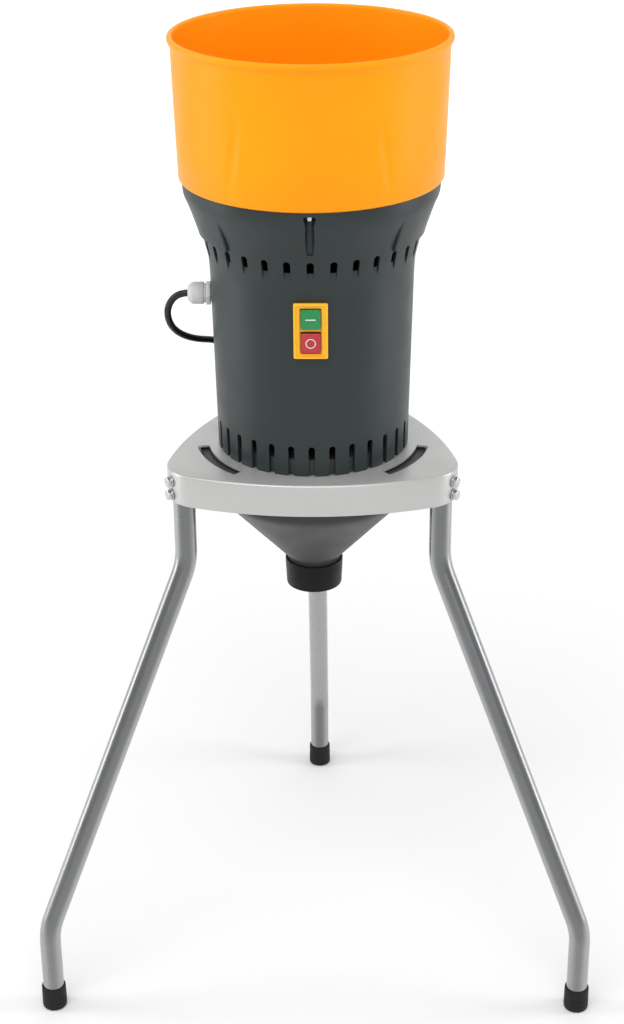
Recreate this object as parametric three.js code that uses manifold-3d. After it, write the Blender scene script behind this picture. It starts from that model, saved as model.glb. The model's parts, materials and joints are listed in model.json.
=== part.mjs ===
// Grain hammer mill on a three-leg stand: millimetres, +Z up, the switch facing -Y.
// A vertical motor stands on a sheet plate under the grain hopper. Its shaft reaches through the
// plate and spins four swinging hammers inside a sieve, and a funnel below gathers the meal.

import * as THREE from 'three';
import { mergeVertices } from 'three/addons/utils/BufferGeometryUtils.js';
import Module from 'manifold-3d';

const wasm = await Module();
wasm.setup();

const DEG = Math.PI / 180;
const gap = 0.3;                       // between pieces that touch
const reach = 1;                       // how far a cutter runs past the face it cuts

// ---- driving dimensions ------------------------------------------------------------------

// stand
const plateTop = 590;                  // the height of the plate's upper face
const footCircle = 321;                // mill axis to a foot's centre
const legTube = 22;
const legWall = 1.5;
const upperBend = 104;                 // below the plate
const lowerBend = 98;                  // above the floor
const bendRadius = 70;
const capWall = 1.6;
const capFloor = 3;
const capHeight = 26.5;

// plate, a rounded triangle with a folded skirt
const sheet = 2;
const skirtDepth = 32.5;
const cornerReach = 160;               // mill axis to the tip of a corner
const sideReach = 118;                 // mill axis to the middle of a side
const cornerRadius = 40;
const arcSlotRadius = 112;
const arcSlotWidth = 11.5;
const arcSlotHalf = 17;                // degrees either side of a corner, to the end's centre

// housing: outside radii, and heights above the plate
const housingWall = 3;
const footRadius = 95.6;
const waistRadius = 99.6;
const waistHeight = 176;
const shoulderRadius = 105.8;
const shoulderHeight = 221;
const collarRadius = 124;
const collarHeight = 262;
const seatHeight = 274;                // where the hopper sits
const lobeProud = 4.2;
const lobeHalf = 44;                   // degrees either side of the left and right
const ventCount = 30;
const ventWidth = 7;
const ventHeight = 12;
const lowVentWidth = 6.2;
const lowVentHeight = 31.5;
const grooveRadius = 6;
const grooveTop = 271;                 // above the plate
const grooveFloor = collarRadius - 11;  // from the mill axis
const screwCircle = collarRadius - 6;
const screwRadius = 2.5;
const screwHead = 4.2;
const screwBite = 10;                  // how far a screw reaches into the hopper
const screwCount = 3;

// hopper
const hopperHeight = 136;              // seat to rim
const hopperFoot = collarRadius + 3.3;
const hopperTop = hopperFoot + 3.9;
const hopperWall = 2.8;
const rimProud = 2.8;
const rimDepth = 10;
const hopperFloor = 3;

// motor: heights above the plate
const shaftRadius = 6;
const statorRadius = 44;
const statorBore = 26.6;
const statorBottom = 50;
const statorLength = 62;
const airGap = 0.6;
const bracketHeight = 44;
const bearingWidth = 10;
const bearingRadius = 16;
const commutatorRadius = 14;
const flangeThickness = 6;
const flangeRim = 16;                  // the rim's height above the plate
const fanRadius = statorRadius - 10;

// grain chute
const chuteRadius = 14;
const chuteWall = 1.5;
const chuteOffset = statorRadius + chuteRadius + 2.5;   // behind the mill axis
const chuteTop = 222;                  // above the plate

// bolts that clamp the motor flange, the plate, the sieve and the funnel together
const clampCircle = footRadius - housingWall - 7.1;
const clampBolt = 5;
const clampPhase = 6.5;
const clampSpread = 19.5;

// grinding chamber: depths below the plate's underside
const sieveRadius = clampCircle - 9;
const sieveSheet = 1.5;
const sieveDepth = 45;
const sieveSlots = 16;
const rotorDepth = 15;
const discThickness = 4;
const discRadius = 42;
const pinCircle = 30;
const pinRadius = 4;
const hammerCount = 4;
const hammerThickness = 5;
const hammerWidth = 18;
const hammerReach = sieveRadius - pinCircle - 4.5;      // pin to tip
const runningGap = 0.35;

// funnel
const funnelWall = 2;
const funnelCollar = clampCircle + 15.5;
const funnelFlange = sideReach - 3.5;
const funnelCollarDepth = 47;          // below the plate's underside
const coneDepth = 76;
const spoutRadius = 29.8;
const spoutWall = 1.8;
const spoutLength = 29;
const spoutTaper = 1.3;

// leg bolts
const legBolt = 6;
const legBoltDepths = [12, 26];        // below the plate's upper face

// switch
const switchHeight = 153;              // centre, above the plate
const frameWidth = 33;
const frameHeight = 56;
const frameDepth = 4.2;
const frameCorner = 3;
const recessWidth = 21;
const recessHeight = 45.4;
const buttonWidth = 18.7;
const buttonHeight = 20.2;
const buttonDepth = 11;
const buttonTravel = 3.5;
const switchDepth = 28;

// cable gland and cord
const glandHeight = 155.3;             // above the plate
const cordRadius = 3.5;
const coilTurns = 5.75;
const coilRadius = 35;                 // to the cord's centre
const coilCentre = 136;                // behind the mill axis
const plugRadius = 18;
const plugLength = 36;
const plugOffset = 6;                  // behind the coil's centre
const bootLength = 12;
const pinLength = 19;

// ---- values worked out from them ---------------------------------------------------------

const plateUnder = plateTop - sheet;
const skirtBottom = plateTop - skirtDepth;
const legRadius = legTube / 2;
const legCircle = cornerReach - sheet - gap - legRadius;
const hopperSeat = plateTop + seatHeight;
const housingBottom = plateTop + gap;
const housingInner = footRadius - housingWall;
const flangeRadius = housingInner - gap;
const sieveOuter = sieveRadius + sieveSheet;
const sieveFlangeBottom = plateUnder - gap - sieveSheet;
const funnelTop = sieveFlangeBottom - gap;
const rotorTop = plateUnder - rotorDepth;
const hammerTop = rotorTop - discThickness - runningGap;
const rotorBottom = hammerTop - hammerThickness - runningGap - discThickness;
const cordPitch = 2 * cordRadius + gap;
const coilBottom = plateTop + gap;
const coilTop = coilBottom + coilTurns * cordPitch + 2 * cordRadius;
const footOffset = footCircle / 4;     // the stand's box is centred this far behind the mill axis

// ---- shapes ------------------------------------------------------------------------------

// azimuth 0 is the front (-Y), and it grows towards +X
function polar(radius, azimuth, z = 0) {
  const angle = azimuth * DEG;
  return new THREE.Vector3(radius * Math.sin(angle), -radius * Math.cos(angle), z);
}

// A closed mesh, cleaned of seams and pole slivers and turned outwards, as a solid for cutting.
function solid(geometry) {
  const bare = geometry.clone();
  bare.deleteAttribute('normal');
  bare.deleteAttribute('uv');
  const merged = mergeVertices(bare, 1e-4);
  const index = merged.index.array;
  const position = merged.attributes.position;
  const corners = [new THREE.Vector3(), new THREE.Vector3(), new THREE.Vector3()];
  const triangles = [];
  let volume = 0;
  for (let i = 0; i < index.length; i += 3) {
    const [a, b, c] = [index[i], index[i + 1], index[i + 2]];
    if (a === b || b === c || c === a) continue;
    triangles.push(a, b, c);
    corners.forEach((corner, k) => corner.fromBufferAttribute(position, index[i + k]));
    volume += corners[0].dot(corners[1].clone().cross(corners[2]));
  }
  if (volume < 0) triangles.reverse();
  return new wasm.Manifold(new wasm.Mesh({
    numProp: 3,
    vertProperties: new Float32Array(position.array),
    triVerts: new Uint32Array(triangles),
  }));
}

function geometryOf(body) {
  const mesh = body.getMesh();
  const geometry = new THREE.BufferGeometry();
  geometry.setAttribute('position', new THREE.BufferAttribute(mesh.vertProperties, 3));
  geometry.setIndex(new THREE.BufferAttribute(mesh.triVerts, 1));
  geometry.computeVertexNormals();
  return geometry;
}

const join = (first, ...rest) => rest.reduce((body, other) => body.add(other), first);
const cut = (first, ...rest) => rest.reduce((body, other) => body.subtract(other), first);

// a solid of revolution about Z from [radius, z] corners; the outline closes on itself
function turned(outline, segments = 48) {
  const closed = [...outline, outline[0]];
  const points = closed.map(([radius, z]) => new THREE.Vector2(radius, z));
  return new THREE.LatheGeometry(points, segments).rotateX(90 * DEG);
}

const ring = (inner, outer, bottom, top, segments = 48) =>
  turned([[inner, bottom], [outer, bottom], [outer, top], [inner, top]], segments);

// an upright cylinder between two heights
function rod(radius, bottom, top, sides = 16, x = 0, y = 0) {
  const geometry = new THREE.CylinderGeometry(radius, radius, top - bottom, sides);
  return geometry.rotateX(90 * DEG).translate(x, y, (top + bottom) / 2);
}

// a cylinder along the radial line at an azimuth, from one distance from the axis to another
function radialRod(radius, from, to, azimuth, z, sides = 8) {
  const geometry = new THREE.CylinderGeometry(radius, radius, to - from, sides);
  return geometry.translate(0, -(from + to) / 2, 0).rotateZ(azimuth * DEG).translate(0, 0, z);
}

// an outline seen from outside (x to the right, y up), pushed outwards along a radial line
function radialPrism(outline, from, to, azimuth, z, curveSegments = 4) {
  const options = { depth: to - from, bevelEnabled: false, curveSegments };
  const geometry = new THREE.ExtrudeGeometry(outline, options);
  geometry.rotateX(90 * DEG).translate(0, -from, 0);
  return geometry.rotateZ(azimuth * DEG).translate(0, 0, z);
}

function archOutline(width, height) {
  const half = width / 2;
  const shape = new THREE.Shape();
  shape.moveTo(-half, 0);
  shape.lineTo(half, 0);
  shape.lineTo(half, height - half);
  shape.absarc(0, height - half, half, 0, Math.PI, false);
  shape.closePath();
  return shape;
}

function roundedOutline(width, height, corner) {
  const x = width / 2 - corner;
  const y = height / 2 - corner;
  const shape = new THREE.Shape();
  shape.absarc(x, y, corner, 0, 90 * DEG, false);
  shape.absarc(-x, y, corner, 90 * DEG, 180 * DEG, false);
  shape.absarc(-x, -y, corner, 180 * DEG, 270 * DEG, false);
  shape.absarc(x, -y, corner, 270 * DEG, 360 * DEG, false);
  shape.closePath();
  return shape;
}

function box(width, depth, height, x, y, z) {
  return new THREE.BoxGeometry(width, depth, height).translate(x, y, z);
}

// The plate's outline: three corner arcs joined by three flatter arcs that meet them smoothly.
function plateOutline(inset) {
  const corner = cornerRadius - inset;
  const centre = cornerReach - cornerRadius;
  const side = sideReach - inset;
  const across = centre * Math.sin(60 * DEG);
  const along = centre * Math.cos(60 * DEG);
  const sideRadius = (across ** 2 + (side - along) ** 2 - corner ** 2) / (2 * (side - along - corner));
  const swing = Math.atan2(across, sideRadius - side + along);
  const shape = new THREE.Shape();
  for (let i = 0; i < 3; i += 1) {
    const middle = (120 * i - 90) * DEG;
    const x = (side - sideRadius) * Math.cos(middle);
    const y = (side - sideRadius) * Math.sin(middle);
    shape.absarc(x, y, sideRadius, middle - swing, middle + swing, false);
    const tip = middle + 60 * DEG;
    const turn = 60 * DEG - swing;
    shape.absarc(centre * Math.cos(tip), centre * Math.sin(tip), corner, tip - turn, tip + turn, false);
  }
  shape.closePath();
  return shape;
}

// A path through chosen stations, sampled station by station rather than by length.
class StationPath extends THREE.Curve {
  constructor(points) {
    super();
    this.points = points;
  }

  getPoint(t, target = new THREE.Vector3()) {
    const place = t * (this.points.length - 1);
    const i = Math.min(Math.floor(place), this.points.length - 2);
    return target.lerpVectors(this.points[i], this.points[i + 1], place - i);
  }

  getTangent(t, target = new THREE.Vector3()) {
    const i = Math.round(t * (this.points.length - 1));
    const before = this.points[Math.max(i - 1, 0)];
    const after = this.points[Math.min(i + 1, this.points.length - 1)];
    return target.subVectors(after, before).normalize();
  }

  getUtoTmapping(u) {
    return u;
  }
}

function sweep(outline, extrudePath, steps, curveSegments) {
  return new THREE.ExtrudeGeometry(outline, { steps, curveSegments, bevelEnabled: false, extrudePath });
}

function circleOutline(radius, bore = 0) {
  const shape = new THREE.Shape().absarc(0, 0, radius, 0, 360 * DEG, false);
  if (bore > 0) shape.holes.push(new THREE.Path().absarc(0, 0, bore, 0, 360 * DEG, true));
  return shape;
}

// ---- materials ---------------------------------------------------------------------------

const finish = (color, roughness, metalness) =>
  new THREE.MeshStandardMaterial({ color, roughness, metalness });
const orangePlastic = () => finish('#ff9f1c', 0.35, 0);
const housingPlastic = () => finish('#3d4545', 0.5, 0);
const plateSteel = () => finish('#c8c8c6', 0.35, 0.9);
const tubeSteel = () => finish('#a4a5a6', 0.3, 0.95);
const zincSteel = () => finish('#c9ccce', 0.3, 1);
const blackRubber = () => finish('#262626', 0.8, 0);
const funnelPlastic = () => finish('#4b4c4e', 0.5, 0);
const castIron = () => finish('#4a4c4e', 0.6, 0.7);
const motorSteel = () => finish('#8f9397', 0.4, 0.9);
const copper = () => finish('#b06a3b', 0.35, 1);

const mill = new THREE.Group();

function add(name, body, material, place = new THREE.Vector3()) {
  const mesh = new THREE.Mesh(geometryOf(body), material);
  mesh.name = name;
  mesh.material.flatShading = true;
  mesh.position.copy(place);
  mill.add(mesh);
}

// ---- stand -------------------------------------------------------------------------------

// a leg runs down inside the corner of the skirt, out at a slant and down to its foot
function legPath(azimuth) {
  const slant = Math.atan2(footCircle - legCircle, plateTop - upperBend - lowerBend);
  const pull = bendRadius * Math.tan(slant / 2);
  const bendSteps = 2;
  const stations = [polar(legCircle, azimuth, plateUnder - gap)];
  for (let i = 0; i <= bendSteps; i += 1) {
    const angle = slant * i / bendSteps;
    const radius = legCircle + bendRadius * (1 - Math.cos(angle));
    stations.push(polar(radius, azimuth, plateTop - upperBend + pull - bendRadius * Math.sin(angle)));
  }
  for (let i = bendSteps; i >= 0; i -= 1) {
    const angle = slant * i / bendSteps;
    const radius = footCircle - bendRadius * (1 - Math.cos(angle));
    stations.push(polar(radius, azimuth, lowerBend - pull + bendRadius * Math.sin(angle)));
  }
  stations.push(polar(footCircle, azimuth, capFloor + gap));
  return new StationPath(stations);
}

const corners = [[1, -60], [2, 60], [3, 180]];

for (const [number, azimuth] of corners) {
  const path = legPath(azimuth);
  const outline = circleOutline(legRadius, legRadius - legWall);
  const holeRadius = legBolt / 2 + gap;
  const boltHoles = legBoltDepths.map((depth) =>
    solid(radialRod(holeRadius, legCircle - legTube, legCircle + legTube, azimuth, plateTop - depth)));
  const tube = solid(sweep(outline, path, path.points.length - 1, 3));
  add(`leg_${number}`, cut(tube, ...boltHoles), tubeSteel());

  const capInner = legRadius + gap;
  const cap = turned([
    [0, 0], [capInner + capWall - 1, 0], [capInner + capWall, 1], [capInner + capWall, capHeight],
    [capInner, capHeight], [capInner, capFloor], [0, capFloor],
  ], 16);
  add(`foot_cap_${number}`, solid(cap), blackRubber(), polar(footCircle, azimuth));

  legBoltDepths.forEach((depth, i) => {
    const headInside = cornerReach + gap;
    const washer = radialRod(legBolt, headInside, headInside + 1.2, azimuth, plateTop - depth, 8);
    const head = radialRod(legBolt * 0.92, headInside + 1.2, headInside + 5.2, azimuth, plateTop - depth, 6);
    const nose = legCircle - legRadius - 6;
    const shank = radialRod(legBolt / 2, nose, headInside, azimuth, plateTop - depth, 8);
    add(`leg_bolt_${number}${'ab'[i]}`, join(solid(shank), solid(washer), solid(head)), zincSteel());
  });
}

// azimuths of the clamp bolts, in three pairs
const clampAzimuths = [0, 120, 240].flatMap((turn) =>
  [clampPhase - clampSpread + turn, clampPhase + clampSpread + turn]);

function clampHoles(bottom, top) {
  return clampAzimuths.map((azimuth) => {
    const place = polar(clampCircle, azimuth);
    return solid(rod(clampBolt / 2 + gap, bottom - reach, top + reach, 6, place.x, place.y));
  });
}

function arcSlot(azimuth) {
  const inner = arcSlotRadius - arcSlotWidth / 2;
  const outer = arcSlotRadius + arcSlotWidth / 2;
  const middle = (azimuth - 90) * DEG;
  const half = arcSlotHalf * DEG;
  const end = (angle) =>
    [arcSlotRadius * Math.cos(angle), arcSlotRadius * Math.sin(angle), arcSlotWidth / 2];
  const shape = new THREE.Shape();
  shape.absarc(0, 0, outer, middle - half, middle + half, false);
  shape.absarc(...end(middle + half), middle + half, middle + half + Math.PI, false);
  shape.absarc(0, 0, inner, middle + half, middle - half, true);
  shape.absarc(...end(middle - half), middle - half + Math.PI, middle - half + 2 * Math.PI, false);
  shape.closePath();
  const options = { depth: sheet + 2 * reach, bevelEnabled: false, curveSegments: 5 };
  return solid(new THREE.ExtrudeGeometry(shape, options).translate(0, 0, plateUnder - reach));
}

const chuteHole = () =>
  solid(rod(chuteRadius + gap, plateUnder - reach, plateTop + flangeRim + reach, 16, 0, chuteOffset));

function standPlate() {
  const outer = { depth: skirtDepth, bevelEnabled: false, curveSegments: 6 };
  const inner = { depth: skirtDepth - sheet + reach, bevelEnabled: false, curveSegments: 6 };
  const skin = solid(new THREE.ExtrudeGeometry(plateOutline(0), outer).translate(0, 0, skirtBottom));
  const hollow = solid(new THREE.ExtrudeGeometry(plateOutline(sheet), inner)
    .translate(0, 0, skirtBottom - reach));
  const shaftHole = solid(rod(shaftRadius + 6, plateUnder - reach, plateTop + reach, 24));
  const boltHoles = corners.flatMap(([, azimuth]) => legBoltDepths.map((depth) =>
    solid(radialRod(legBolt / 2 + gap, legCircle, cornerReach + reach, azimuth, plateTop - depth))));
  const slots = corners.map(([, azimuth]) => arcSlot(azimuth));
  const clamps = clampHoles(plateUnder, plateTop);
  return cut(skin, hollow, shaftHole, chuteHole(), ...boltHoles, ...slots, ...clamps);
}

add('stand_plate', standPlate(), plateSteel());

// ---- housing -----------------------------------------------------------------------------

// the outside, from the plate up to the hopper's seat, as [radius, height above the plate]
const housingOutside = [
  [footRadius, gap], [waistRadius, waistHeight],
  [waistRadius + 1.2, waistHeight + 21], [shoulderRadius - 1.6, shoulderHeight - 14],
  [shoulderRadius, shoulderHeight], [shoulderRadius + 6, shoulderHeight + 15],
  [collarRadius - 0.5, collarHeight - 2], [collarRadius, seatHeight - gap],
];

const smoothedInside = [3, 5];          // rows that the inside passes straight over

const inward = ([radius, height]) => [radius - housingWall, height];
const atPlate = ([radius, height]) => [radius, height + plateTop];

function housingRadius(height) {
  const above = housingOutside.findIndex(([, top]) => top >= height);
  const [r1, h1] = housingOutside[above];
  const [r0, h0] = housingOutside[above - 1];
  return r0 + (r1 - r0) * (height - h0) / (h1 - h0);
}

// the wall's facets are turned by half a facet, so that each vent lies within one of them
const facets = 2 * ventCount;
const halfFacet = 180 / facets * DEG;

// a wedge as seen from above, for keeping only the part of a ring around one side
function wedge(azimuth, half, radius, bottom, top) {
  const middle = (azimuth - 90) * DEG;
  const shape = new THREE.Shape();
  shape.moveTo(0, 0);
  shape.absarc(0, 0, radius, middle - half * DEG, middle + half * DEG, false);
  shape.closePath();
  const options = { depth: top - bottom, bevelEnabled: false, curveSegments: 6 };
  return solid(new THREE.ExtrudeGeometry(shape, options).translate(0, 0, bottom));
}

// the collar swells at the left and right into a lobe that ends in a small ledge
function lobes() {
  const bottom = shoulderHeight + 1;
  const band = turned([
    [shoulderRadius - housingWall / 2, bottom - 2], [shoulderRadius + lobeProud - 1, bottom],
    [shoulderRadius + lobeProud, bottom + 3], [collarRadius - 0.4, collarHeight - 1],
    [collarRadius - housingWall / 2, collarHeight + 2], [shoulderRadius + 4, bottom + 15],
  ].map(atPlate), facets).rotateZ(halfFacet);
  const sides = [90, -90].map((azimuth) =>
    wedge(azimuth, lobeHalf, 2 * collarRadius, plateTop + bottom - 5, plateTop + collarHeight + 5));
  return solid(band).intersect(join(...sides));
}

// each screw is driven upwards from the top of an upright groove in the collar
const screwAzimuths = Array.from({ length: screwCount }, (_, i) => i * 360 / screwCount);
const screwSeat = plateTop + grooveTop - 2;

function screwGroove(azimuth) {
  const bottom = plateTop + shoulderHeight + 10;
  const outline = archOutline(2 * grooveRadius, plateTop + grooveTop - bottom);
  return solid(radialPrism(outline, grooveFloor, collarRadius + 2 * reach, azimuth, bottom, 5));
}

// behind each groove the wall thickens inwards, up to the shelf that the screw pulls on
function screwBoss(azimuth) {
  const bottom = plateTop + shoulderHeight + 8;
  const top = hopperSeat - gap;
  const depth = collarRadius - grooveFloor + housingWall;
  const block = box(4 * grooveRadius, depth, top - bottom, 0, depth / 2 - collarRadius, (top + bottom) / 2);
  return solid(block.rotateZ(azimuth * DEG));
}

function screwHole(azimuth) {
  const place = polar(screwCircle, azimuth);
  return solid(rod(screwRadius + gap, screwSeat - 8, hopperSeat + screwBite + gap, 8, place.x, place.y));
}

const switchBack = housingRadius(switchHeight + frameHeight / 2) + gap;
const switchOpening = 27.6;
const switchOpeningHeight = 50;
const glandHole = 8.3;

function housing() {
  const outside = housingOutside.map(atPlate);
  const insideRows = housingOutside.filter((_, row) => !smoothedInside.includes(row));
  const inside = insideRows.map(inward).map(atPlate).reverse();
  const shell = solid(turned([...outside, ...inside], facets).rotateZ(halfFacet));
  const filledOutline = [[0, housingBottom], ...outside, [0, hopperSeat - gap]];
  const filled = solid(turned(filledOutline, facets).rotateZ(halfFacet));
  const bosses = screwAzimuths.map((azimuth) => screwBoss(azimuth).intersect(filled));
  const upperVent = archOutline(ventWidth, ventHeight);
  const upperBottom = plateTop + shoulderHeight - ventHeight;
  const lowerVent = archOutline(lowVentWidth, lowVentHeight + reach);
  const outer = collarRadius + lobeProud;
  const vents = Array.from({ length: ventCount }, (_, i) => i * 360 / ventCount).flatMap((azimuth) => [
    solid(radialPrism(upperVent, waistRadius - 12, outer, azimuth, upperBottom, 2)),
    solid(radialPrism(lowerVent, footRadius - 12, outer, azimuth, plateTop - reach, 2)),
  ]);
  const switchHole = box(switchOpening, 60, switchOpeningHeight, 0, -switchBack, plateTop + switchHeight);
  const cordHole = radialRod(glandHole, waistRadius - 20, outer, -90, plateTop + glandHeight, 16);
  const body = join(shell, lobes(), ...bosses);
  const grooves = screwAzimuths.map(screwGroove);
  const holes = screwAzimuths.map(screwHole);
  return cut(body, ...vents, ...grooves, ...holes, solid(switchHole), solid(cordHole));
}

add('housing', housing(), housingPlastic());

screwAzimuths.forEach((azimuth, i) => {
  const head = rod(screwHead, screwSeat - 5, screwSeat - gap - 2, 8);
  const shank = rod(screwRadius, screwSeat - gap - 2, hopperSeat + screwBite, 8);
  add(`hopper_screw_${i + 1}`, join(solid(head), solid(shank)), zincSteel(), polar(screwCircle, azimuth));
});

// ---- hopper ------------------------------------------------------------------------------

const chuteBore = chuteRadius - chuteWall;
const neckRadius = chuteBore - gap;
const neckWall = 2;
const floorEdge = grooveFloor - housingWall;

// the floor is a cone pulled towards the back, so that the grain runs to the chute
function pullFloor(geometry) {
  const position = geometry.attributes.position;
  for (let i = 0; i < position.count; i += 1) {
    const radius = Math.hypot(position.getX(i), position.getY(i));
    const share = THREE.MathUtils.clamp((floorEdge - radius) / (floorEdge - neckRadius), 0, 1);
    position.setY(i, position.getY(i) + share * chuteOffset);
  }
  return geometry;
}

function hopper() {
  const rim = hopperSeat + hopperHeight;
  const throat = plateTop + chuteTop + 4;
  const outline = [
    [hopperFoot - 1, hopperSeat], [hopperFoot, hopperSeat + 1], [hopperTop, rim - rimDepth],
    [hopperTop + rimProud, rim - rimDepth + 1.5], [hopperTop + rimProud, rim - 2.5],
    [hopperTop + rimProud - 2, rim], [hopperTop - hopperWall, rim],
    [hopperFoot - hopperWall, hopperSeat + hopperFloor], [floorEdge, hopperSeat + hopperFloor],
    [neckRadius - neckWall, throat + 2], [neckRadius - neckWall, throat - 16],
    [neckRadius, throat - 16], [neckRadius, throat], [floorEdge, hopperSeat],
  ];
  const tub = solid(pullFloor(turned(outline, 40)));
  const bosses = screwAzimuths.map((azimuth) => {
    const place = polar(screwCircle, azimuth);
    return solid(rod(screwRadius + 3, hopperSeat + 1, hopperSeat + screwBite + 3, 8, place.x, place.y));
  });
  return cut(join(tub, ...bosses), ...screwAzimuths.map(screwHole));
}

add('hopper', hopper(), orangePlastic());

add('grain_chute', solid(ring(chuteBore, chuteRadius, plateUnder, plateTop + chuteTop, 24)
  .translate(0, chuteOffset, 0)), motorSteel());

// ---- motor -------------------------------------------------------------------------------

const statorBase = plateTop + statorBottom;
const statorTop = statorBase + statorLength;
const bracketBottom = statorTop + gap;
const bracketTop = bracketBottom + bracketHeight;
const postRadius = 4;
const postCircle = statorRadius - postRadius - 0.5;
const bracketWall = 4;

// the lower end shield: a flange under the housing with the bearing seat and four posts
function motorFlange() {
  const seat = plateTop + gap;
  const rim = plateTop + flangeRim;
  const rimInner = clampCircle - clampBolt - 1;
  const disc = turned([
    [shaftRadius + 4, seat], [flangeRadius, seat], [flangeRadius, rim], [rimInner, rim],
    [rimInner, seat + flangeThickness], [bearingRadius + 5, seat + flangeThickness],
    [bearingRadius + 5, rim + 3], [bearingRadius + gap, rim + 3],
    [bearingRadius + gap, rim + 3 - bearingWidth], [shaftRadius + 4, rim + 3 - bearingWidth],
  ], 30);
  const posts = [45, 135, 225, 315].map((azimuth) => {
    const place = polar(postCircle, azimuth);
    return solid(rod(postRadius, seat + 2, statorBase - gap, 10, place.x, place.y));
  });
  return cut(join(solid(disc), ...posts), chuteHole(), ...clampHoles(seat, rim));
}

add('motor_flange', motorFlange(), castIron());

clampAzimuths.forEach((azimuth, i) => {
  const seat = plateTop + flangeRim + gap;
  const shank = rod(clampBolt / 2, funnelTop - 9, seat, 6);
  const head = rod(clampBolt * 0.9, seat, seat + 4, 6);
  add(`clamp_bolt_${i + 1}`, join(solid(shank), solid(head)), zincSteel(), polar(clampCircle, azimuth));
});

add('motor_stator', solid(ring(statorBore, statorRadius, statorBase, statorTop, 32)), motorSteel());

const lowerBearing = plateTop + flangeRim + 3 - bearingWidth + gap;
const upperBearing = bracketTop - bearingWidth + gap;
const bearing = (z) => solid(ring(shaftRadius + gap, bearingRadius, z, z + bearingWidth - gap, 24));
add('lower_bearing', bearing(lowerBearing), zincSteel());
add('upper_bearing', bearing(upperBearing), zincSteel());

const brushHeight = 14;
const brushWidth = 10;
const brushBottom = bracketBottom + 10;

// the upper end shield: a cup over the stator with windows for the air and the brush holders
function motorBracket() {
  const inner = statorRadius - bracketWall;
  const cup = turned([
    [inner, bracketBottom], [statorRadius, bracketBottom], [statorRadius, bracketTop],
    [bearingRadius + gap, bracketTop], [bearingRadius + gap, bracketTop - bearingWidth],
    [bearingRadius - 3, bracketTop - bearingWidth], [bearingRadius - 3, bracketTop - bearingWidth - 2],
    [bearingRadius + 4, bracketTop - bearingWidth - 2], [bearingRadius + 8, bracketTop - 4],
    [inner, bracketTop - 4],
  ], 24);
  const window = (azimuth) => solid(box(26, 20, bracketHeight - 20, 0, -statorRadius, bracketBottom + 20)
    .rotateZ(azimuth * DEG));
  const holder = (side) => solid(box(20, brushWidth + 2 * gap, brushHeight + 2 * gap,
    side * statorRadius, 0, brushBottom + brushHeight / 2));
  return cut(solid(cup), window(0), window(180), holder(1), holder(-1));
}

add('motor_bracket', motorBracket(), castIron());

for (const [name, side] of [['left', -1], ['right', 1]]) {
  const inner = commutatorRadius + gap;
  const length = statorRadius + 3 - inner;
  add(`brush_holder_${name}`, solid(box(length, brushWidth, brushHeight,
    side * (inner + length / 2), 0, brushBottom + brushHeight / 2)), copper());
}

const armatureTop = statorTop - 4;
const commutatorBottom = brushBottom - 3;
const nutHeight = 8;
const threadEnd = rotorBottom - gap - nutHeight - 3;

// the shaft carries a shoulder above the upper disc and a thread below the lower one
function shaft() {
  const shoulder = shaftRadius + 3;
  return solid(turned([
    [0, threadEnd], [shaftRadius - 1, threadEnd], [shaftRadius - 1, rotorBottom - gap],
    [shaftRadius, rotorBottom - gap], [shaftRadius, rotorTop + gap], [shoulder, rotorTop + gap],
    [shoulder, plateTop + 5], [shaftRadius, plateTop + 5], [shaftRadius, bracketTop + 4],
    [0, bracketTop + 4],
  ], 20));
}

add('motor_shaft', shaft(), motorSteel());
const armature = ring(shaftRadius + gap, statorBore - airGap, statorBase + 4, armatureTop, 24);
add('armature', solid(armature), motorSteel());
add('commutator', solid(ring(shaftRadius + gap, commutatorRadius, commutatorBottom,
  commutatorBottom + brushHeight + 6, 24)), copper());

// cooling fan under the stator: a hub disc with upright blades
function fan() {
  const bottom = plateTop + flangeRim + 6;
  const bladeThickness = 2;
  const bladeReach = 18;
  const bladeHeight = 12;
  const disc = solid(ring(shaftRadius + gap, fanRadius, bottom, bottom + 3, 24));
  const blades = Array.from({ length: 6 }, (_, i) =>
    solid(box(bladeThickness, bladeReach, bladeHeight, 0, -fanRadius + bladeReach / 2 + 3, bottom + 8)
      .rotateZ(60 * i * DEG)));
  return join(disc, ...blades);
}

add('cooling_fan', fan(), housingPlastic());

// ---- grinding chamber --------------------------------------------------------------------

const pinAzimuths = Array.from({ length: hammerCount }, (_, i) => 45 + i * 360 / hammerCount);

function rotorDisc(bottom) {
  const disc = ring(shaftRadius + gap, discRadius, bottom, bottom + discThickness, 24);
  const holes = pinAzimuths.map((azimuth) => {
    const place = polar(pinCircle, azimuth);
    return solid(rod(pinRadius + gap, bottom - reach, bottom + discThickness + reach, 8, place.x, place.y));
  });
  return cut(solid(disc), ...holes);
}

add('rotor_disc_upper', rotorDisc(rotorTop - discThickness), motorSteel());
add('rotor_disc_lower', rotorDisc(rotorBottom), motorSteel());

// a collar on the shaft keeps the discs apart
add('rotor_spacer', solid(ring(shaftRadius + gap, shaftRadius + 6, rotorBottom + discThickness + gap,
  rotorTop - discThickness - gap, 20)), motorSteel());

function rotorNut() {
  const body = rod(10, rotorBottom - gap - nutHeight, rotorBottom - gap, 6);
  return cut(solid(body), solid(rod(shaftRadius - 1 + gap, threadEnd - reach, rotorBottom + reach, 16)));
}

add('rotor_nut', rotorNut(), zincSteel());

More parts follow.
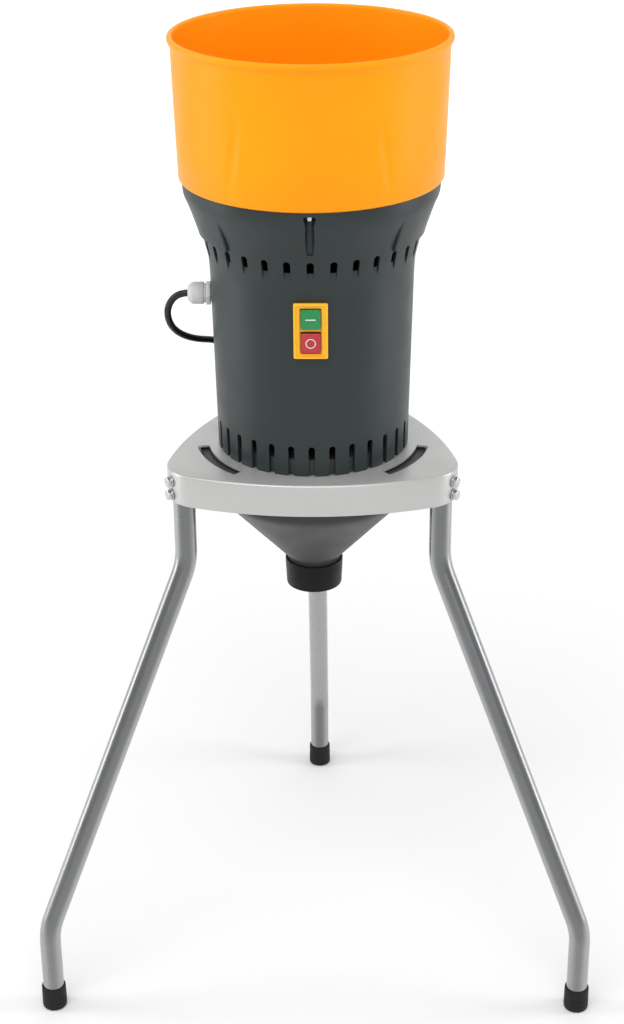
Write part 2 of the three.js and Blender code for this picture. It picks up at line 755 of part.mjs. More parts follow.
pinAzimuths.forEach((azimuth, i) => {
  const place = polar(pinCircle, azimuth);
  const pin = join(
    solid(rod(pinRadius, rotorBottom - gap, rotorTop + gap, 8)),
    solid(rod(pinRadius + 2, rotorTop + gap, rotorTop + gap + 2, 8)),
    solid(rod(pinRadius + 2, rotorBottom - gap - 2, rotorBottom - gap, 8)),
  );
  add(`hammer_pin_${i + 1}`, pin, zincSteel(), place);

  // a hammer is a flat bar, round at the pin and square at the tip
  const half = hammerWidth / 2;
  const bar = new THREE.Shape();
  bar.absarc(0, 0, half, 0, Math.PI, false);
  bar.lineTo(-half, -hammerReach);
  bar.lineTo(half, -hammerReach);
  bar.closePath();
  bar.holes.push(new THREE.Path().absarc(0, 0, pinRadius + gap, 0, 2 * Math.PI, true));
  const options = { depth: hammerThickness, bevelEnabled: false, curveSegments: 8 };
  const blade = new THREE.ExtrudeGeometry(bar, options);
  const bottom = hammerTop - hammerThickness;
  add(`hammer_${i + 1}`, solid(blade.rotateZ(azimuth * DEG)), motorSteel(), place.setZ(bottom));
});

// the sieve is a basket hung by its flange between the plate and the funnel
function sieve() {
  const floor = plateUnder - gap - sieveDepth;
  const flange = clampCircle + clampBolt;
  const basket = turned([
    [0, floor], [sieveOuter, floor], [sieveOuter, sieveFlangeBottom], [flange, sieveFlangeBottom],
    [flange, plateUnder - gap], [sieveRadius, plateUnder - gap], [sieveRadius, floor + sieveSheet],
    [0, floor + sieveSheet],
  ], 32);
  const slots = Array.from({ length: sieveSlots }, (_, i) =>
    solid(box(6, 20, sieveDepth - 14, 0, -sieveRadius, (floor + sieveFlangeBottom) / 2)
      .rotateZ(i * 360 / sieveSlots * DEG)));
  const holes = Array.from({ length: 8 }, (_, i) => {
    const place = polar(sieveRadius * 0.68, 45 * i);
    return solid(rod(5, floor - reach, floor + sieveSheet + reach, 6, place.x, place.y));
  });
  return cut(solid(basket), ...slots, ...holes, ...clampHoles(sieveFlangeBottom, plateUnder));
}

add('sieve', sieve(), motorSteel());

// ---- funnel ------------------------------------------------------------------------------

const neckLength = 10;
const neckOuter = spoutRadius - spoutWall - spoutTaper * neckLength / spoutLength - gap;
const coneTop = plateUnder - funnelCollarDepth;
const coneBottom = coneTop - coneDepth - 8;
const neckBottom = coneBottom - neckLength;
const weldNut = 6;

function funnel() {
  const inner = sieveOuter + 1.5;
  const edge = funnelCollar - funnelWall;
  const wall = turned([
    [inner, funnelTop - funnelWall], [edge, funnelTop - funnelWall], [edge, coneTop],
    [edge - funnelWall, coneTop - 8],
    [neckOuter - funnelWall, coneBottom], [neckOuter - funnelWall, neckBottom], [neckOuter, neckBottom],
    [neckOuter, coneBottom], [edge, coneTop - 8], [funnelCollar - 1.6, coneTop - 4], [funnelCollar, coneTop],
    [funnelCollar, funnelTop - funnelWall], [funnelFlange, funnelTop - funnelWall],
    [funnelFlange, funnelTop], [inner, funnelTop],
  ], 32);
  const nuts = clampAzimuths.map((azimuth) => {
    const place = polar(clampCircle, azimuth);
    return solid(rod(clampBolt, funnelTop - funnelWall - weldNut, funnelTop - 1, 6, place.x, place.y));
  });
  return cut(join(solid(wall), ...nuts), ...clampHoles(funnelTop - 12, funnelTop));
}

add('funnel', funnel(), funnelPlastic());

// the spout is a sleeve on the funnel's neck
const spoutTop = coneBottom - gap;
add('spout', solid(turned([
  [spoutRadius - spoutWall, spoutTop], [spoutRadius - spoutWall - spoutTaper, spoutTop - spoutLength],
  [spoutRadius - spoutTaper, spoutTop - spoutLength], [spoutRadius, spoutTop],
], 32)), blackRubber());

// ---- switch ------------------------------------------------------------------------------

const switchCentre = plateTop + switchHeight;
const frameFront = switchBack + frameDepth;
const bodyFront = frameFront - 2.4;
const buttonFront = frameFront + 1.6;
const buttonHeights = { start: switchCentre + 11.7, stop: switchCentre - 11.2 };
const wellDepth = buttonDepth + buttonTravel;

function switchFrame() {
  const outline = roundedOutline(frameWidth, frameHeight, frameCorner);
  outline.holes.push(roundedOutline(recessWidth, recessHeight, 0.8));
  return solid(radialPrism(outline, switchBack, frameFront, 0, switchCentre, 3));
}

function switchBody() {
  const nose = box(recessWidth - 2 * gap, 6, recessHeight - 2 * gap, 0, -(bodyFront - 3), switchCentre);
  const block = box(switchOpening - 2 * gap, switchDepth, switchOpeningHeight - 2 * gap,
    0, -(switchBack - gap - switchDepth / 2), switchCentre);
  const wells = Object.values(buttonHeights).map((z) =>
    solid(box(buttonWidth + 2 * gap, 2 * wellDepth, buttonHeight + 2 * gap, 0, -(buttonFront), z)));
  return cut(join(solid(block), solid(nose)), ...wells);
}

add('switch_frame', switchFrame(), finish('#ffc21a', 0.35, 0));
add('switch_body', switchBody(), finish('#d9a514', 0.5, 0));

function button() {
  const outline = roundedOutline(buttonWidth, buttonHeight, 1);
  return solid(radialPrism(outline, buttonFront - buttonDepth, buttonFront, 0, 0, 2));
}

add('start_button', button(), finish('#1f9a5a', 0.35, 0), new THREE.Vector3(0, 0, buttonHeights.start));
add('stop_button', button(), finish('#c33c46', 0.35, 0), new THREE.Vector3(0, 0, buttonHeights.stop));

// ---- cable gland and cord ----------------------------------------------------------------

const glandZ = plateTop + glandHeight;
const glandFlange = 12;
const glandSeat = housingRadius(glandHeight + glandFlange) + gap;
const glandTip = glandSeat + 22.6;
const cordBore = cordRadius + 2 * gap;

function gland() {
  const body = turned([
    [cordBore, glandSeat - 10], [glandHole - gap, glandSeat - 10],
    [glandHole - gap, glandSeat], [glandFlange, glandSeat],
    [glandFlange, glandSeat + 4.6], [9.6, glandSeat + 5.2], [9.6, glandSeat + 6.4], [11, glandSeat + 7],
    [11, glandTip - 5], [9, glandTip - 1.6], [6.6, glandTip], [cordBore, glandTip],
  ], 16);
  return solid(body.rotateY(-90 * DEG));
}

add('cable_gland', gland(), finish('#c9c9c9', 0.45, 0), new THREE.Vector3(0, 0, glandZ));

// the cord bows out of the gland, runs behind the housing and down into the coil on the plate
const runPoints = [
  [-112, 0, 155.3], [-124, 0, 155.3], [-135, 2, 151], [-143.5, 6, 137], [-142, 13, 118], [-132, 24, 103],
  [-116, 40, 92], [-101, 59, 84], [-85, 80, 65], [-68, 98, 38], [-52, 112, 16], [-42, 121, 7.5],
  [-36.5, 129, 4.5], [-35, 136, 3.8],
];

// from the top of the coil it turns back on the left and comes over the ring into the plug
const tailPoints = [
  [0, 101, 45.8], [-15, 100.5, 46.5], [-30, 98.5, 48], [-46, 95.5, 50], [-60, 97.5, 52.5],
  [-71.5, 106, 54.5], [-76, 119.5, 55.5], [-73, 133.5, 55], [-62, 143, 54], [-48, 145, 53.2],
  [-36, 143, 53.1], [-30.6, 142, 53.1],
];

function cordTube(points, steps) {
  const stations = points.map(([x, y, height]) => new THREE.Vector3(x, y, plateTop + height));
  const path = new THREE.CatmullRomCurve3(stations, false, 'centripetal');
  return solid(sweep(circleOutline(cordRadius), path, steps, 4));
}

const cordColour = () => finish('#141414', 0.6, 0);
const windingSlack = 0.15;
const coilInner = coilRadius - cordRadius - windingSlack;
const coilOuter = coilRadius + cordRadius + windingSlack;

const coilRing = (room) =>
  solid(ring(coilInner - room, coilOuter + room, coilBottom - room, coilTop + room, 24)
    .translate(0, coilCentre, 0));

add('cord_run', cut(cordTube(runPoints, 28), coilRing(gap)), cordColour());
add('cord_coil', coilRing(0), cordColour());
add('cord_tail', cut(cordTube(tailPoints, 24), coilRing(gap)), cordColour());

// the plug lies across the coil, its body sunk into the coil's hole
function plug() {
  const half = plugLength / 2;
  const bootEnd = half + bootLength;
  const pinRadius = 2.4;
  const pinOffset = 9.5;
  const body = turned([
    [0, -bootEnd], [4.5, -bootEnd], [6.5, -half - 3], [plugRadius - 5, -half],
    [plugRadius, -half + 6], [plugRadius, half], [0, half],
  ], 16);
  const pins = [-pinOffset, pinOffset].map((x) =>
    solid(rod(pinRadius, half - 1, half + pinLength, 10, x, 0)));
  const whole = join(solid(body), ...pins);
  return solid(geometryOf(whole).rotateX(90 * DEG).rotateZ(90 * DEG));
}

const plugAxis = coilTop + gap + cordRadius;
add('plug', plug(), cordColour(), new THREE.Vector3(0, coilCentre + plugOffset, plugAxis));

// the origin is on the floor at the middle of the box around the stand
mill.position.set(0, -footOffset, 0);

const group = new THREE.Group();
group.add(mill);

export default group;
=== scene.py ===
# %% [markdown]
# # Grain hammer mill
# An electric mill on three bent tube legs: an orange grain hopper sits on a dark motor housing,
# the housing stands on a sheet steel plate, and a funnel under the plate lets the meal fall out.
# The CAD frame is loaded first. It carries every position, so nothing here is placed by eye.

# %% Load the frame
import json
import math

import bmesh
import bpy
from mathutils import Matrix, Vector


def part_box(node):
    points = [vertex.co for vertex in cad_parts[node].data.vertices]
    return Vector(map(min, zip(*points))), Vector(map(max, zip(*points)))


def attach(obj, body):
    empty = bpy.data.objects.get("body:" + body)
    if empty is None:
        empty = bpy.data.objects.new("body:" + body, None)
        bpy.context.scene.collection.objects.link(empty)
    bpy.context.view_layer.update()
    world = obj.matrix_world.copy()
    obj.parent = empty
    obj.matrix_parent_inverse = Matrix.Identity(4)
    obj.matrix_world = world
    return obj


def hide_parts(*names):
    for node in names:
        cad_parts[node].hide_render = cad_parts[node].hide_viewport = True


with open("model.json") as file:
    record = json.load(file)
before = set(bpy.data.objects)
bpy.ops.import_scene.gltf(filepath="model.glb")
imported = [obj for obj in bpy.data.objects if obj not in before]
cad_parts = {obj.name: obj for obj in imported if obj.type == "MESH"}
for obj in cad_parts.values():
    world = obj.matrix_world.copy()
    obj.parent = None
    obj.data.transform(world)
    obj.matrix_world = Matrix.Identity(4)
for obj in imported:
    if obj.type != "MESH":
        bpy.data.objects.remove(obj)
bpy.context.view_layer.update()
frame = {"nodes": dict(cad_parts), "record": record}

# %% [markdown]
# ## Working measures
# The mill's axis isn't at the origin: it stands in front of it. The hopper is round, so the
# middle of its box gives the axis, and every turned piece is spun about that line.

# %% Axis and heights
MM = 0.001
hopper_low, hopper_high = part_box("hopper")
plate_low, plate_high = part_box("stand_plate")
AXIS_Y = (hopper_low[1] + hopper_high[1]) / 2
PLATE_TOP = plate_high[2]
print(f"mill axis at y = {AXIS_Y / MM:.2f} mm, plate top at {PLATE_TOP / MM:.1f} mm")


def place(radius, azimuth, height):
    """A point in metres from millimetres: azimuth 0 is the front and grows to the right."""
    angle = math.radians(azimuth)
    return Vector((radius * math.sin(angle) * MM, AXIS_Y - radius * math.cos(angle) * MM, height * MM))


# %% [markdown]
# ## Camera
# The camera comes early, because what it can't see decides where the spare cord may lie. It
# stands in front of the mill at head height and looks down at it with a portrait lens.

# %% Camera
LENS_MM = 71.2
SENSOR_MM = 36
LOOK_DOWN = math.radians(25.46)
TURN = math.radians(1.03)
ROLL = math.radians(-0.4375)

camera_data = bpy.data.cameras.new("camera")
camera_data.lens = LENS_MM
camera_data.sensor_width = SENSOR_MM
camera = bpy.data.objects.new("camera", camera_data)
bpy.context.scene.collection.objects.link(camera)
camera.location = (0.03203, -1.96824, 1.40562)
heading = Matrix.Rotation(TURN, 3, "Z") @ Matrix.Rotation(math.pi / 2 - LOOK_DOWN, 3, "X")
camera.rotation_euler = (heading @ Matrix.Rotation(ROLL, 3, "Z")).to_euler()
bpy.context.scene.camera = camera
print("camera turned", [round(math.degrees(angle), 2) for angle in camera.rotation_euler])

# %% [markdown]
# ## Floor and light
# A pale floor that curves up into a wall has no horizon line, as in a product studio. It is a
# plane whose back edge is extruded upwards and then bevelled, so the corner becomes a sweep.
# One large soft light hangs above the front, and two tall ones at the sides draw the long
# highlights on the tubes and the housing. A weak one low in front fills the shadows under the
# plate, and a strong one behind lights the sweep only. The Standard view keeps the plastics'
# colours as they are, where the default view would wash the orange out.

# %% Selecting by place
def edit(piece, kind, test):
    """Opens the piece in edit mode with only the parts chosen whose place passes the test."""
    bpy.ops.object.mode_set(mode="OBJECT")
    bpy.ops.object.select_all(action="DESELECT")
    piece.select_set(True)
    bpy.context.view_layer.objects.active = piece
    bpy.ops.object.mode_set(mode="EDIT")
    bpy.ops.mesh.select_mode(type=kind)
    bpy.ops.mesh.select_all(action="DESELECT")
    mesh = bmesh.from_edit_mesh(piece.data)
    if kind == "VERT":
        for vertex in mesh.verts:
            vertex.select_set(test(vertex.co, vertex.normal))
    elif kind == "EDGE":
        for edge in mesh.edges:
            edge.select_set(test(edge.verts[0].co, edge.verts[1].co))
    else:
        for face in mesh.faces:
            face.select_set(test(face.calc_center_median(), face.normal))
    mesh.select_flush_mode()
    bmesh.update_edit_mesh(piece.data)


def done(piece):
    """Leaves edit mode and puts the object at the origin, unturned, with its place in its mesh."""
    bpy.ops.object.mode_set(mode="OBJECT")
    bpy.ops.object.select_all(action="DESELECT")
    piece.select_set(True)
    bpy.context.view_layer.objects.active = piece
    bpy.ops.object.transform_apply(location=True, rotation=True, scale=True)
    return piece


def start(name, kind, **where):
    """Adds a primitive with nothing else selected, and gives it its name."""
    if bpy.context.object and bpy.context.object.mode == "EDIT":
        bpy.ops.object.mode_set(mode="OBJECT")
    bpy.ops.object.select_all(action="DESELECT")
    getattr(bpy.ops.mesh, f"primitive_{kind}_add")(**where)
    piece = bpy.context.object
    piece.name = name
    piece.data.name = name
    return done(piece)


# %% Floor
floor = start("studio_floor", "plane", size=14, location=(0, 3.2, 0))
edit(floor, "EDGE", lambda a, b: min(a.y, b.y) > 10)
bpy.ops.mesh.extrude_region_move(TRANSFORM_OT_translate={"value": (0, 0, 8)})
edit(floor, "EDGE", lambda a, b: min(a.y, b.y) > 10 and max(a.z, b.z) < 0.01)
bpy.ops.mesh.bevel(offset=3.5, segments=24)
done(floor)
for face in floor.data.polygons:
    face.use_smooth = True
print("floor faces:", len(floor.data.polygons))

# %% Lights
def soft_light(name, size, watts, where, target):
    """An area light of a width and height in metres, aimed at a point."""
    data = bpy.data.lights.new(name, "AREA")
    data.shape = "RECTANGLE"
    data.size, data.size_y = size
    data.energy = watts
    light = bpy.data.objects.new(name, data)
    bpy.context.scene.collection.objects.link(light)
    light.location = where
    light.rotation_euler = (Vector(target) - Vector(where)).to_track_quat("-Z", "Y").to_euler()


soft_light("key_above", (2.4, 1.6), 38, (-0.4, -1.7, 3.0), (0, 0, 0.6))
soft_light("side_left", (0.7, 2.4), 16, (-2.0, -0.1, 1.1), (0, 0, 0.6))
soft_light("side_right", (0.7, 2.4), 16, (2.0, -0.1, 1.1), (0, 0, 0.6))
soft_light("front_fill", (2.6, 1.2), 8, (0.3, -3.2, 0.9), (0, 0, 0.5))
soft_light("backdrop", (6.0, 2.0), 330, (0, 3.0, 4.6), (0, 9.0, 0.6))

world = bpy.data.worlds.new("studio")
bpy.context.scene.world = world
world.use_nodes = True
world.node_tree.nodes["Background"].inputs["Color"].default_value = (1, 1, 1, 1)
world.node_tree.nodes["Background"].inputs["Strength"].default_value = 0.62
bpy.context.scene.view_settings.view_transform = "Standard"

# %% [markdown]
# ## How a finish is built
# Every finish here is a Principled shader with three things on it that change over the surface:
# its colour is mottled by a broad noise, its roughness by a second one, and a fine noise makes
# the grain that catches the light. Object coordinates are metres, so a pattern that repeats
# every `d` millimetres has the scale 1000 / d. Only the numbers differ between most finishes,
# so one function takes them, and a finish that needs more adds its own nodes afterwards.

# %% Colour and node helpers
def linear(hex_colour):
    """An sRGB hex colour as the linear RGBA values that shaders work in."""
    channels = [int(hex_colour[i:i + 2], 16) / 255 for i in (1, 3, 5)]
    return [c / 12.92 if c <= 0.04045 else ((c + 0.055) / 1.055) ** 2.4 for c in channels] + [1.0]


def node(material, kind, values=None, links=None, **settings):
    """Adds one node to a material, with its settings, its sockets' values and its links."""
    made = material.node_tree.nodes.new(kind)
    for name, value in settings.items():
        setattr(made, name, value)
    for socket, value in (values or {}).items():
        made.inputs[socket].default_value = value
    for socket, source in (links or {}).items():
        material.node_tree.links.new(source, made.inputs[socket])
    return made


def finish(name, colour, second, roughness, grain_mm, grain_depth_mm, mottle_mm=60,
           metallic=0.0, ior=1.5, spread=0.06, gloss=0.5, stretch=(1, 1, 1)):
    """A mottled, grained finish. gloss is the shader's specular level, which a fine moulded grain
    lowers. stretch squeezes the grain along an axis, as drawing or turning does."""
    material = bpy.data.materials.new(name)
    material.use_nodes = True
    shader = material.node_tree.nodes["Principled BSDF"]
    shader.inputs["Metallic"].default_value = metallic
    shader.inputs["Specular IOR Level"].default_value = gloss
    if metallic < 0.5:
        shader.inputs["IOR"].default_value = ior
    where = node(material, "ShaderNodeTexCoord").outputs["Object"]
    broad = node(material, "ShaderNodeTexNoise", {"Scale": 1000 / mottle_mm, "Detail": 4.0},
                 {"Vector": where})
    blend = node(material, "ShaderNodeMix", {6: linear(colour), 7: linear(second)},
                 {0: broad.outputs["Fac"]}, data_type="RGBA")
    material.node_tree.links.new(blend.outputs[2], shader.inputs["Base Color"])
    patch = node(material, "ShaderNodeTexNoise", {"Scale": 1000 / (0.4 * mottle_mm), "Detail": 6.0},
                 {"Vector": where})
    span = node(material, "ShaderNodeMapRange",
                {"From Min": 0.3, "From Max": 0.7,
                 "To Min": roughness - spread, "To Max": roughness + spread},
                {"Value": patch.outputs["Fac"]})
    material.node_tree.links.new(span.outputs["Result"], shader.inputs["Roughness"])
    squeezed = node(material, "ShaderNodeMapping", {"Scale": stretch}, {"Vector": where})
    grain = node(material, "ShaderNodeTexNoise", {"Scale": 1000 / grain_mm, "Detail": 3.0},
                 {"Vector": squeezed.outputs["Vector"]})
    bump = node(material, "ShaderNodeBump", {"Distance": grain_depth_mm * MM, "Strength": 1.0},
                {"Height": grain.outputs["Fac"]})
    material.node_tree.links.new(bump.outputs["Normal"], shader.inputs["Normal"])
    return material


HOPPER_ORANGE = "#FFA30E"
print("orange in linear light:", [round(c, 3) for c in linear(HOPPER_ORANGE)])

# %% [markdown]
# ## Studio floor finish
# The floor is matt white studio paint. It has no gloss, because a shiny floor would mirror the
# feet, and only a trace of roller texture.

# %% Floor finish
floor_paint = finish("matt_white_studio_paint", "#F6F6F6", "#F4F4F4", roughness=0.9, grain_mm=6,
                     grain_depth_mm=0.02, mottle_mm=900, gloss=0.1)
floor.data.materials.append(floor_paint)

# %% [markdown]
# ## The mains cord
# The lead is black PVC, 7 mm across and 1.65 m long, which is usual for a garden machine. It
# leaves the gland on the left in a bow, runs behind the housing and is put away there in a coil
# on the plate, with the plug across the coil. One NURBS curve gives it a smooth line: its
# points lie on the route of the CAD solids, and each turn of the coil has sixteen of them.

# %% Cord route
CORD_RADIUS = 3.5
COIL_RADIUS = 35
COIL_BACK = 136
COIL_TURNS = 5.75
COIL_PITCH = 7.3
COIL_BASE = 0.3
run_points = [
    (-112, 0, 155.3), (-118, 0, 155.3), (-124, 0, 155.3), (-130, 0.6, 153.8), (-135, 2, 151),
    (-139.8, 3.8, 145.5), (-143.5, 6, 137), (-144, 9.2, 127.5), (-142, 13, 118), (-138, 18, 110),
    (-132, 24, 103), (-124.5, 31.5, 97), (-116, 40, 92), (-109, 49, 88.3), (-101, 59, 84),
    (-93.5, 69, 76), (-85, 80, 65), (-77, 89, 52), (-68, 98, 38), (-60, 105.5, 26),
    (-52, 112, 16), (-46.5, 117, 11), (-42, 121, 7.5), (-38.5, 125.5, 5.6),
]
coil_points = []
for step in range(int(COIL_TURNS * 16) + 1):
    turned_by = 2 * math.pi * step / 16
    coil_points.append((-COIL_RADIUS * math.cos(turned_by), COIL_BACK + COIL_RADIUS * math.sin(turned_by),
                        COIL_BASE + CORD_RADIUS + COIL_PITCH * step / 16))
tail_points = [
    (-15, 100.5, 46.5), (-30, 98.5, 48), (-46, 95.5, 50), (-60, 97.5, 52.5), (-71.5, 106, 54.5),
    (-76, 119.5, 55.5), (-73, 133.5, 55), (-62, 143, 54), (-48, 145, 53.2), (-36, 143, 53.1),
    (-28, 142, 53.1),
]
route = [Vector((x * MM, AXIS_Y + y * MM, PLATE_TOP + z * MM))
         for x, y, z in run_points + coil_points + tail_points]
chords = sum((b - a).length for a, b in zip(route, route[1:]))
print(f"{len(route)} points, {chords:.3f} m of cord")

# %% Cord curve
cord_line = bpy.data.curves.new("mains_cord", "CURVE")
cord_line.dimensions = "3D"
cord_line.bevel_depth = 1
cord_line.bevel_resolution = 5
cord_line.resolution_u = 6
cord_line.use_fill_caps = True
spline = cord_line.splines.new("NURBS")
spline.points.add(len(route) - 1)
for point, spot in zip(spline.points, route):
    point.co = (*spot, 1)
    point.radius = CORD_RADIUS * MM
spline.order_u = 4
spline.use_endpoint_u = True
mains_cord = bpy.data.objects.new("mains_cord", cord_line)
bpy.context.scene.collection.objects.link(mains_cord)
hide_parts("cord_run", "cord_coil", "cord_tail")
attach(mains_cord, "stand")

# %% [markdown]
# ## Drawing and turning
# Most of this mill is round, so most pieces are turned: a half outline is drawn by extruding one
# vertex from point to point, then spun about the piece's axis, and its doubles are merged. A
# spin is exact, and its rings stay in reach for later edits. A bevel on the sharp edges gives
# each one the small radius that catches a highlight.

# %% Turning helpers
def draw(name, points):
    """A line of edges through points: one vertex, extruded from each point to the next."""
    piece = start(name, "plane", size=MM, location=points[0])
    edit(piece, "VERT", lambda spot, normal: True)
    bpy.ops.mesh.merge(type="CENTER")
    for before, after in zip(points, points[1:]):
        bpy.ops.mesh.extrude_vertices_move(TRANSFORM_OT_translate={"value": after - before})
    return piece


def turned(name, outline, steps=128, turn=360, centre=None, axis="Z"):
    """Spins an outline of (radius, distance along the axis) in millimetres about that axis."""
    centre = Vector((0, AXIS_Y, 0)) if centre is None else centre
    if axis == "Z":
        points = [centre + Vector((radius, 0, along)) * MM for radius, along in outline]
        line = (0, 0, 1)
    else:
        points = [centre + Vector((along, 0, radius)) * MM for radius, along in outline]
        line = (1, 0, 0)
    piece = draw(name, points)
    bpy.ops.mesh.select_all(action="SELECT")
    bpy.ops.mesh.spin(steps=steps, angle=math.radians(turn), center=centre, axis=line)
    bpy.ops.mesh.select_all(action="SELECT")
    bpy.ops.mesh.remove_doubles(threshold=0.01 * MM)
    if turn == 360:
        bpy.ops.mesh.normals_make_consistent(inside=False)
    return done(piece)


def closed_sector(piece, turn, azimuth):
    """Closes the two ends of a part turning and centres it on an azimuth. A spin starts at the
    right and goes clockwise as seen from above."""
    edit(piece, "EDGE", lambda a, b: True)
    bpy.ops.mesh.select_non_manifold()
    bpy.ops.mesh.edge_face_add()
    edit(piece, "FACE", lambda spot, normal: True)
    bpy.ops.mesh.normals_make_consistent(inside=False)
    done(piece)
    axis = Matrix.Translation(Vector((0, AXIS_Y, 0)))
    centring = Matrix.Rotation(math.radians(turn / 2 - 90 + azimuth), 4, "Z")
    piece.matrix_world = axis @ centring @ axis.inverted()
    return done(piece)


def soften(piece, width, segments=3, sharper_than=32, smooth_to=35):
    """Rounds the sharp edges by a width in millimetres, then shades the rest smooth."""
    done(piece)
    if width > 0:
        bevel = piece.modifiers.new("edges", "BEVEL")
        bevel.limit_method = "ANGLE"
        bevel.angle_limit = math.radians(sharper_than)
        bevel.width = width * MM
        bevel.segments = segments
        bpy.ops.object.modifier_apply(modifier=bevel.name)
    bpy.ops.object.shade_smooth_by_angle(angle=math.radians(smooth_to))
    return piece


def thicken(piece, thickness, even=False):
    """Gives a sheet a thickness in millimetres, inwards from the face that was drawn."""
    done(piece)
    wall = piece.modifiers.new("wall", "SOLIDIFY")
    wall.thickness = thickness * MM
    wall.offset = -1
    wall.use_even_offset = even
    bpy.ops.object.modifier_apply(modifier=wall.name)
    return piece


def carve(piece, tool, operation="DIFFERENCE"):
    """Cuts a tool shape out of a piece, or joins it on, and removes the tool."""
    done(piece)
    boolean = piece.modifiers.new("carve", "BOOLEAN")
    boolean.object = tool
    boolean.operation = operation
    boolean.solver = "EXACT"
    bpy.ops.object.modifier_apply(modifier=boolean.name)
    bpy.data.objects.remove(tool, do_unlink=True)
    return piece


def ring_of(piece, count):
    """Copies a tool shape count times around the mill's axis, within its own mesh."""
    edit(piece, "FACE", lambda spot, normal: True)
    bpy.ops.mesh.spin(steps=count - 1, angle=math.radians(360 * (count - 1) / count), dupli=True,
                      center=(0, AXIS_Y, 0), axis=(0, 0, 1))
    return done(piece)


def copied(piece, name, turn=0, offset=(0, 0, 0)):
    """A copy with its own mesh, turned about the mill's axis by degrees and then moved by metres."""
    done(piece)
    bpy.ops.object.duplicate()
    copy = bpy.context.object
    copy.name = name
    copy.data.name = name
    axis = Vector((0, AXIS_Y, 0))
    copy.matrix_world = (Matrix.Translation(axis + Vector(offset))
                         @ Matrix.Rotation(math.radians(turn), 4, "Z") @ Matrix.Translation(-axis))
    return done(copy)


def three_of(back, stem):
    """The back piece and its copies at the two front corners, by the number of their CAD node."""
    return {3: back, 1: copied(back, f"{stem}_left", 120), 2: copied(back, f"{stem}_right", -120)}


def joined(first, *others):
    """Several shells as one piece."""
    done(first)
    for other in others:
        other.select_set(True)
    bpy.ops.object.join()
    return first


def dress(piece, material, slot, *nodes, body="stand"):
    """Gives a piece its finish, the CAD nodes it stands for and its body. The slot is not used."""
    piece.data.materials.clear()
    piece.data.materials.append(material)
    if nodes:
        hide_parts(*nodes)
    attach(piece, body)
    triangles = sum(len(face.vertices) - 2 for face in piece.data.polygons)
    print(f"{piece.name}: {triangles} triangles")


# %% [markdown]
# ## Orange polypropylene hopper
# The tub is injection moulded polypropylene, about 3 mm thick. It is satin rather than glossy,
# and its colour is even, with only a broad faint mottle. The light passes a little way into
# it, so a trace of subsurface keeps the shaded side warm. Patches of rougher plastic stand for
# the scuffs that pouring grain leaves.

# %% Hopper finish
orange_plastic = finish("moulded_orange_polypropylene", HOPPER_ORANGE, "#FC9A08", roughness=0.4,
                        grain_mm=1.6, grain_depth_mm=0.012, mottle_mm=90, ior=1.49, spread=0.05, gloss=0.14)
orange_shader = orange_plastic.node_tree.nodes["Principled BSDF"]
orange_shader.inputs["Subsurface Weight"].default_value = 0.08
orange_shader.inputs["Subsurface Radius"].default_value = (0.004, 0.002, 0.0005)
orange_shader.inputs["Subsurface Scale"].default_value = 1.0

# %% [markdown]
# ## Hopper shape
# The wall widens slowly to a rolled lip, which stiffens it and gives the hands a grip. Inside,
# the floor is a cone whose outlet lies behind the motor, so the neck rings of the spun shape
# are simply moved back: the cone leans after them. Two shallow flutes run up the front, made
# by cutting with a stretched sphere that only just enters the wall.

# %% Hopper
SEAT = 864
RIM = 1000
HOPPER_FOOT = 127.3
HOPPER_TOP = 131.2
OUTLET_BACK = 60.5
hopper_outline = [
    (124.4, SEAT), (126.2, SEAT + 0.9), (HOPPER_FOOT, SEAT + 2.4), (128.6, SEAT + 40),
    (130.0, SEAT + 85), (HOPPER_TOP, RIM - 10), (131.6, RIM - 8.4), (132.5, RIM - 6.8),
    (133.5, RIM - 5.4), (134, RIM - 4), (134, RIM - 2.4), (133.5, RIM - 0.9),
    (132.4, RIM - 0.1), (131, RIM), (129.4, RIM - 0.4), (128.6, RIM - 1.6),
    (128.4, RIM - 4), (127.2, SEAT + 85), (125.8, SEAT + 40), (124.6, SEAT + 7), (123.2, SEAT + 4.2),
    (120.5, SEAT + 3), (110, SEAT + 3), (10.2, 818), (10.2, 800), (12.2, 800), (12.2, 816), (110, SEAT),
    (124.4, SEAT),
]
hopper_tub = turned("hopper_tub", hopper_outline, steps=160)
edit(hopper_tub, "VERT", lambda spot, normal: math.hypot(spot.x, spot.y - AXIS_Y) < 13 * MM)
bpy.ops.transform.translate(value=(0, OUTLET_BACK * MM, 0))
done(hopper_tub)
for side in (-1, 1):
    tool = start("flute_tool", "uv_sphere", segments=64, ring_count=64, radius=0.02,
                 location=place(147.5, 34 * side, SEAT + 28), scale=(1, 1, 6.2),
                 rotation=(0, math.radians(-11 * side), math.radians(34 * side)))
    carve(hopper_tub, tool)
boss = start("screw_boss", "cylinder", vertices=20, radius=0.0055, depth=0.011,
             location=place(118, 0, SEAT + 7.5))
edit(boss, "FACE", lambda spot, normal: normal.z > 0.9)
bpy.ops.mesh.inset(thickness=0.001)
bpy.ops.transform.translate(value=(0, 0, 0.0008))
carve(hopper_tub, ring_of(boss, 3), "UNION")
soften(hopper_tub, 0)
dress(hopper_tub, orange_plastic, "hopper_plastic", "hopper")

# %% [markdown]
# ## Spark-textured dark ABS
# The housing is moulded in a dark grey ABS with a slight green cast. The mould was spark
# eroded, which leaves a fine even grain of about half a millimetre, so highlights on it are
# wide and soft. A long highlight down each side shows how smooth the walls are.

# %% Housing finish
housing_abs = finish("spark_textured_grey_abs", "#222A2A", "#273030", roughness=0.42,
                     grain_mm=0.7, grain_depth_mm=0.02, mottle_mm=80, ior=1.53, spread=0.05, gloss=0.34)

